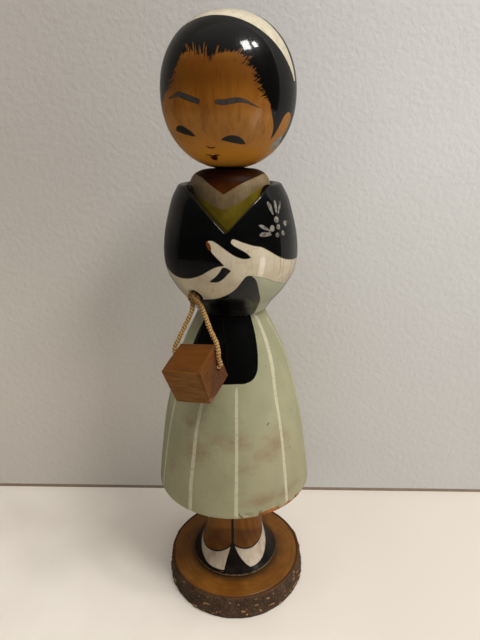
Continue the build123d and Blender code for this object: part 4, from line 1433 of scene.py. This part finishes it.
# Painted light on the wall: brighter and cooler on the right, darker and warmer on the left, and the two
# sides closer together low down.
low_down = s.step(s.height(), 220, 60)
lit_wall_right = s.mix(low_down, rgb(236, 238, 238), rgb(222, 222, 221))
shaded_wall_left = s.mix(low_down, rgb(202, 197, 191), rgb(224, 219, 211))
wall_paint = s.layer(lit_wall_right, shaded_wall_left, s.along(0), 100, -100)
wall_paint = s.layer(wall_paint, rgb(214, 210, 205), s.noise(90, 3.0), 0.3, 0.7, 0.2)
s.finish(dimmer(s, wall_paint), 0.8, s.bump(s.noise(2.6, 4.0, 0.6), 0.5, 0.6), specular=0.25)
WALL = one_sided(s)
s = Shader("stage_strip")
s.finish(s.mix(s.noise(5, 2.0), rgb(168, 150, 132), rgb(138, 121, 104)), 0.7)
STRIP = one_sided(s)

floor_corners = [(-ROOM_HALF, -ROOM_HALF, 0), (ROOM_HALF, -ROOM_HALF, 0)]
floor_corners += [(ROOM_HALF, ROOM_HALF, 0), (-ROOM_HALF, ROOM_HALF, 0)]
sheet("floor", floor_corners, FLOOR)


def upright(name, low, high, out, material):
    """A band of wall between two heights. out: how far it stands in front of the wall."""
    ends = [(x, WALL_Y + WALL_SLANT * x - out) for x in (-ROOM_HALF, ROOM_HALF)]
    sheet(name, [(*ends[0], low), (*ends[1], low), (*ends[1], high), (*ends[0], high)], material)


upright("wall", -0.002, 0.75, 0, WALL)
upright("wall_foot", -0.001, 0.0021, 0.0002, STRIP)


def lamp(name, where, aim, size, watts, colour):
    data = bpy.data.lights.new(name, "AREA")
    data.shape, data.size, data.size_y = "RECTANGLE", size[0], size[1]
    data.energy, data.color = watts, colour
    obj = place(name, data)
    obj.location = where
    obj.rotation_euler = (Vector(aim) - Vector(where)).to_track_quat("-Z", "Y").to_euler()
    return obj


WARM = (1.0, 0.97, 0.93)
WHITE = (1.0, 0.99, 0.96)
lamp("lamp_left", (0.56, -0.53, 1.25), (0, 0, 0.15), (0.25, 0.28), 6, WARM)
lamp("lamp_right", (0.76, -0.30, 1.22), (0, 0, 0.15), (0.14, 0.14), 3, WARM)
for name, where, aim, size, watts in (
    ("side", (0.80, -0.10, 0.75), (0.1, 0.05, 0.12), (0.8, 0.8), 3.9),
    ("above", (0.0, -0.25, 1.3), (0, 0, 0.1), (1.2, 0.8), 7.0),
):
    lamp(name, where, aim, size, watts, (1.0, 0.98, 0.96)).visible_glossy = False

window = lamp("window", (0.212, -0.150, 0.08), (0.014, -0.0235, 0.162), (0.045, 0.13), 0.085, WHITE)
window.visible_diffuse = False


def room_light():
    """Faint light, stronger from above. The camera itself sees an even pale grey in its place."""
    world = bpy.data.worlds.new("room")
    bpy.context.scene.world = world
    world.use_nodes = True
    tree = world.node_tree
    tree.nodes.clear()

    def node(kind):
        return tree.nodes.new("ShaderNode" + kind)

    where, split, upward = node("TexCoord"), node("SeparateXYZ"), node("Math")
    ramp, seen, path = node("ValToRGB"), node("Mix"), node("LightPath")
    sky, out = node("Background"), node("OutputWorld")
    upward.operation = "MULTIPLY_ADD"
    upward.inputs[1].default_value = 0.5
    upward.inputs[2].default_value = 0.5
    level, top = ramp.color_ramp.elements
    level.position, level.color = 0.45, (0.02, 0.02, 0.02, 1)
    top.position, top.color = 1.0, (0.42, 0.40, 0.37, 1)
    ramp.color_ramp.elements.new(0.78).color = (0.05, 0.05, 0.048, 1)
    seen.data_type = "RGBA"
    seen.inputs[7].default_value = (0.58, 0.56, 0.53, 1)
    for source, target in (
        (where.outputs["Generated"], split.inputs[0]),
        (split.outputs[2], upward.inputs[0]),
        (upward.outputs[0], ramp.inputs[0]),
        (path.outputs["Is Camera Ray"], seen.inputs[0]),
        (ramp.outputs[0], seen.inputs[6]),
        (seen.outputs[2], sky.inputs[0]),
        (sky.outputs[0], out.inputs[0]),
    ):
        tree.links.new(source, target)


room_light()

CAMERA_PLACE = (0.01505, -0.20449, 0.2056)
CAMERA_YAW = math.radians(3.23)
CAMERA_PITCH = math.radians(90 - 19.34)
CAMERA_ROLL = math.radians(-0.55)
camera_data = bpy.data.cameras.new("camera")
camera_data.lens = 28.125
camera_data.sensor_width = 36.0
camera_data.clip_start = 0.005
camera = place("camera", camera_data)
turn = Matrix.Rotation(CAMERA_YAW, 4, "Z") @ Matrix.Rotation(CAMERA_PITCH, 4, "X")
camera.matrix_world = Matrix.Translation(CAMERA_PLACE) @ turn @ Matrix.Rotation(CAMERA_ROLL, 4, "Z")
bpy.context.scene.camera = camera
bpy.context.scene.view_settings.view_transform = "Standard"
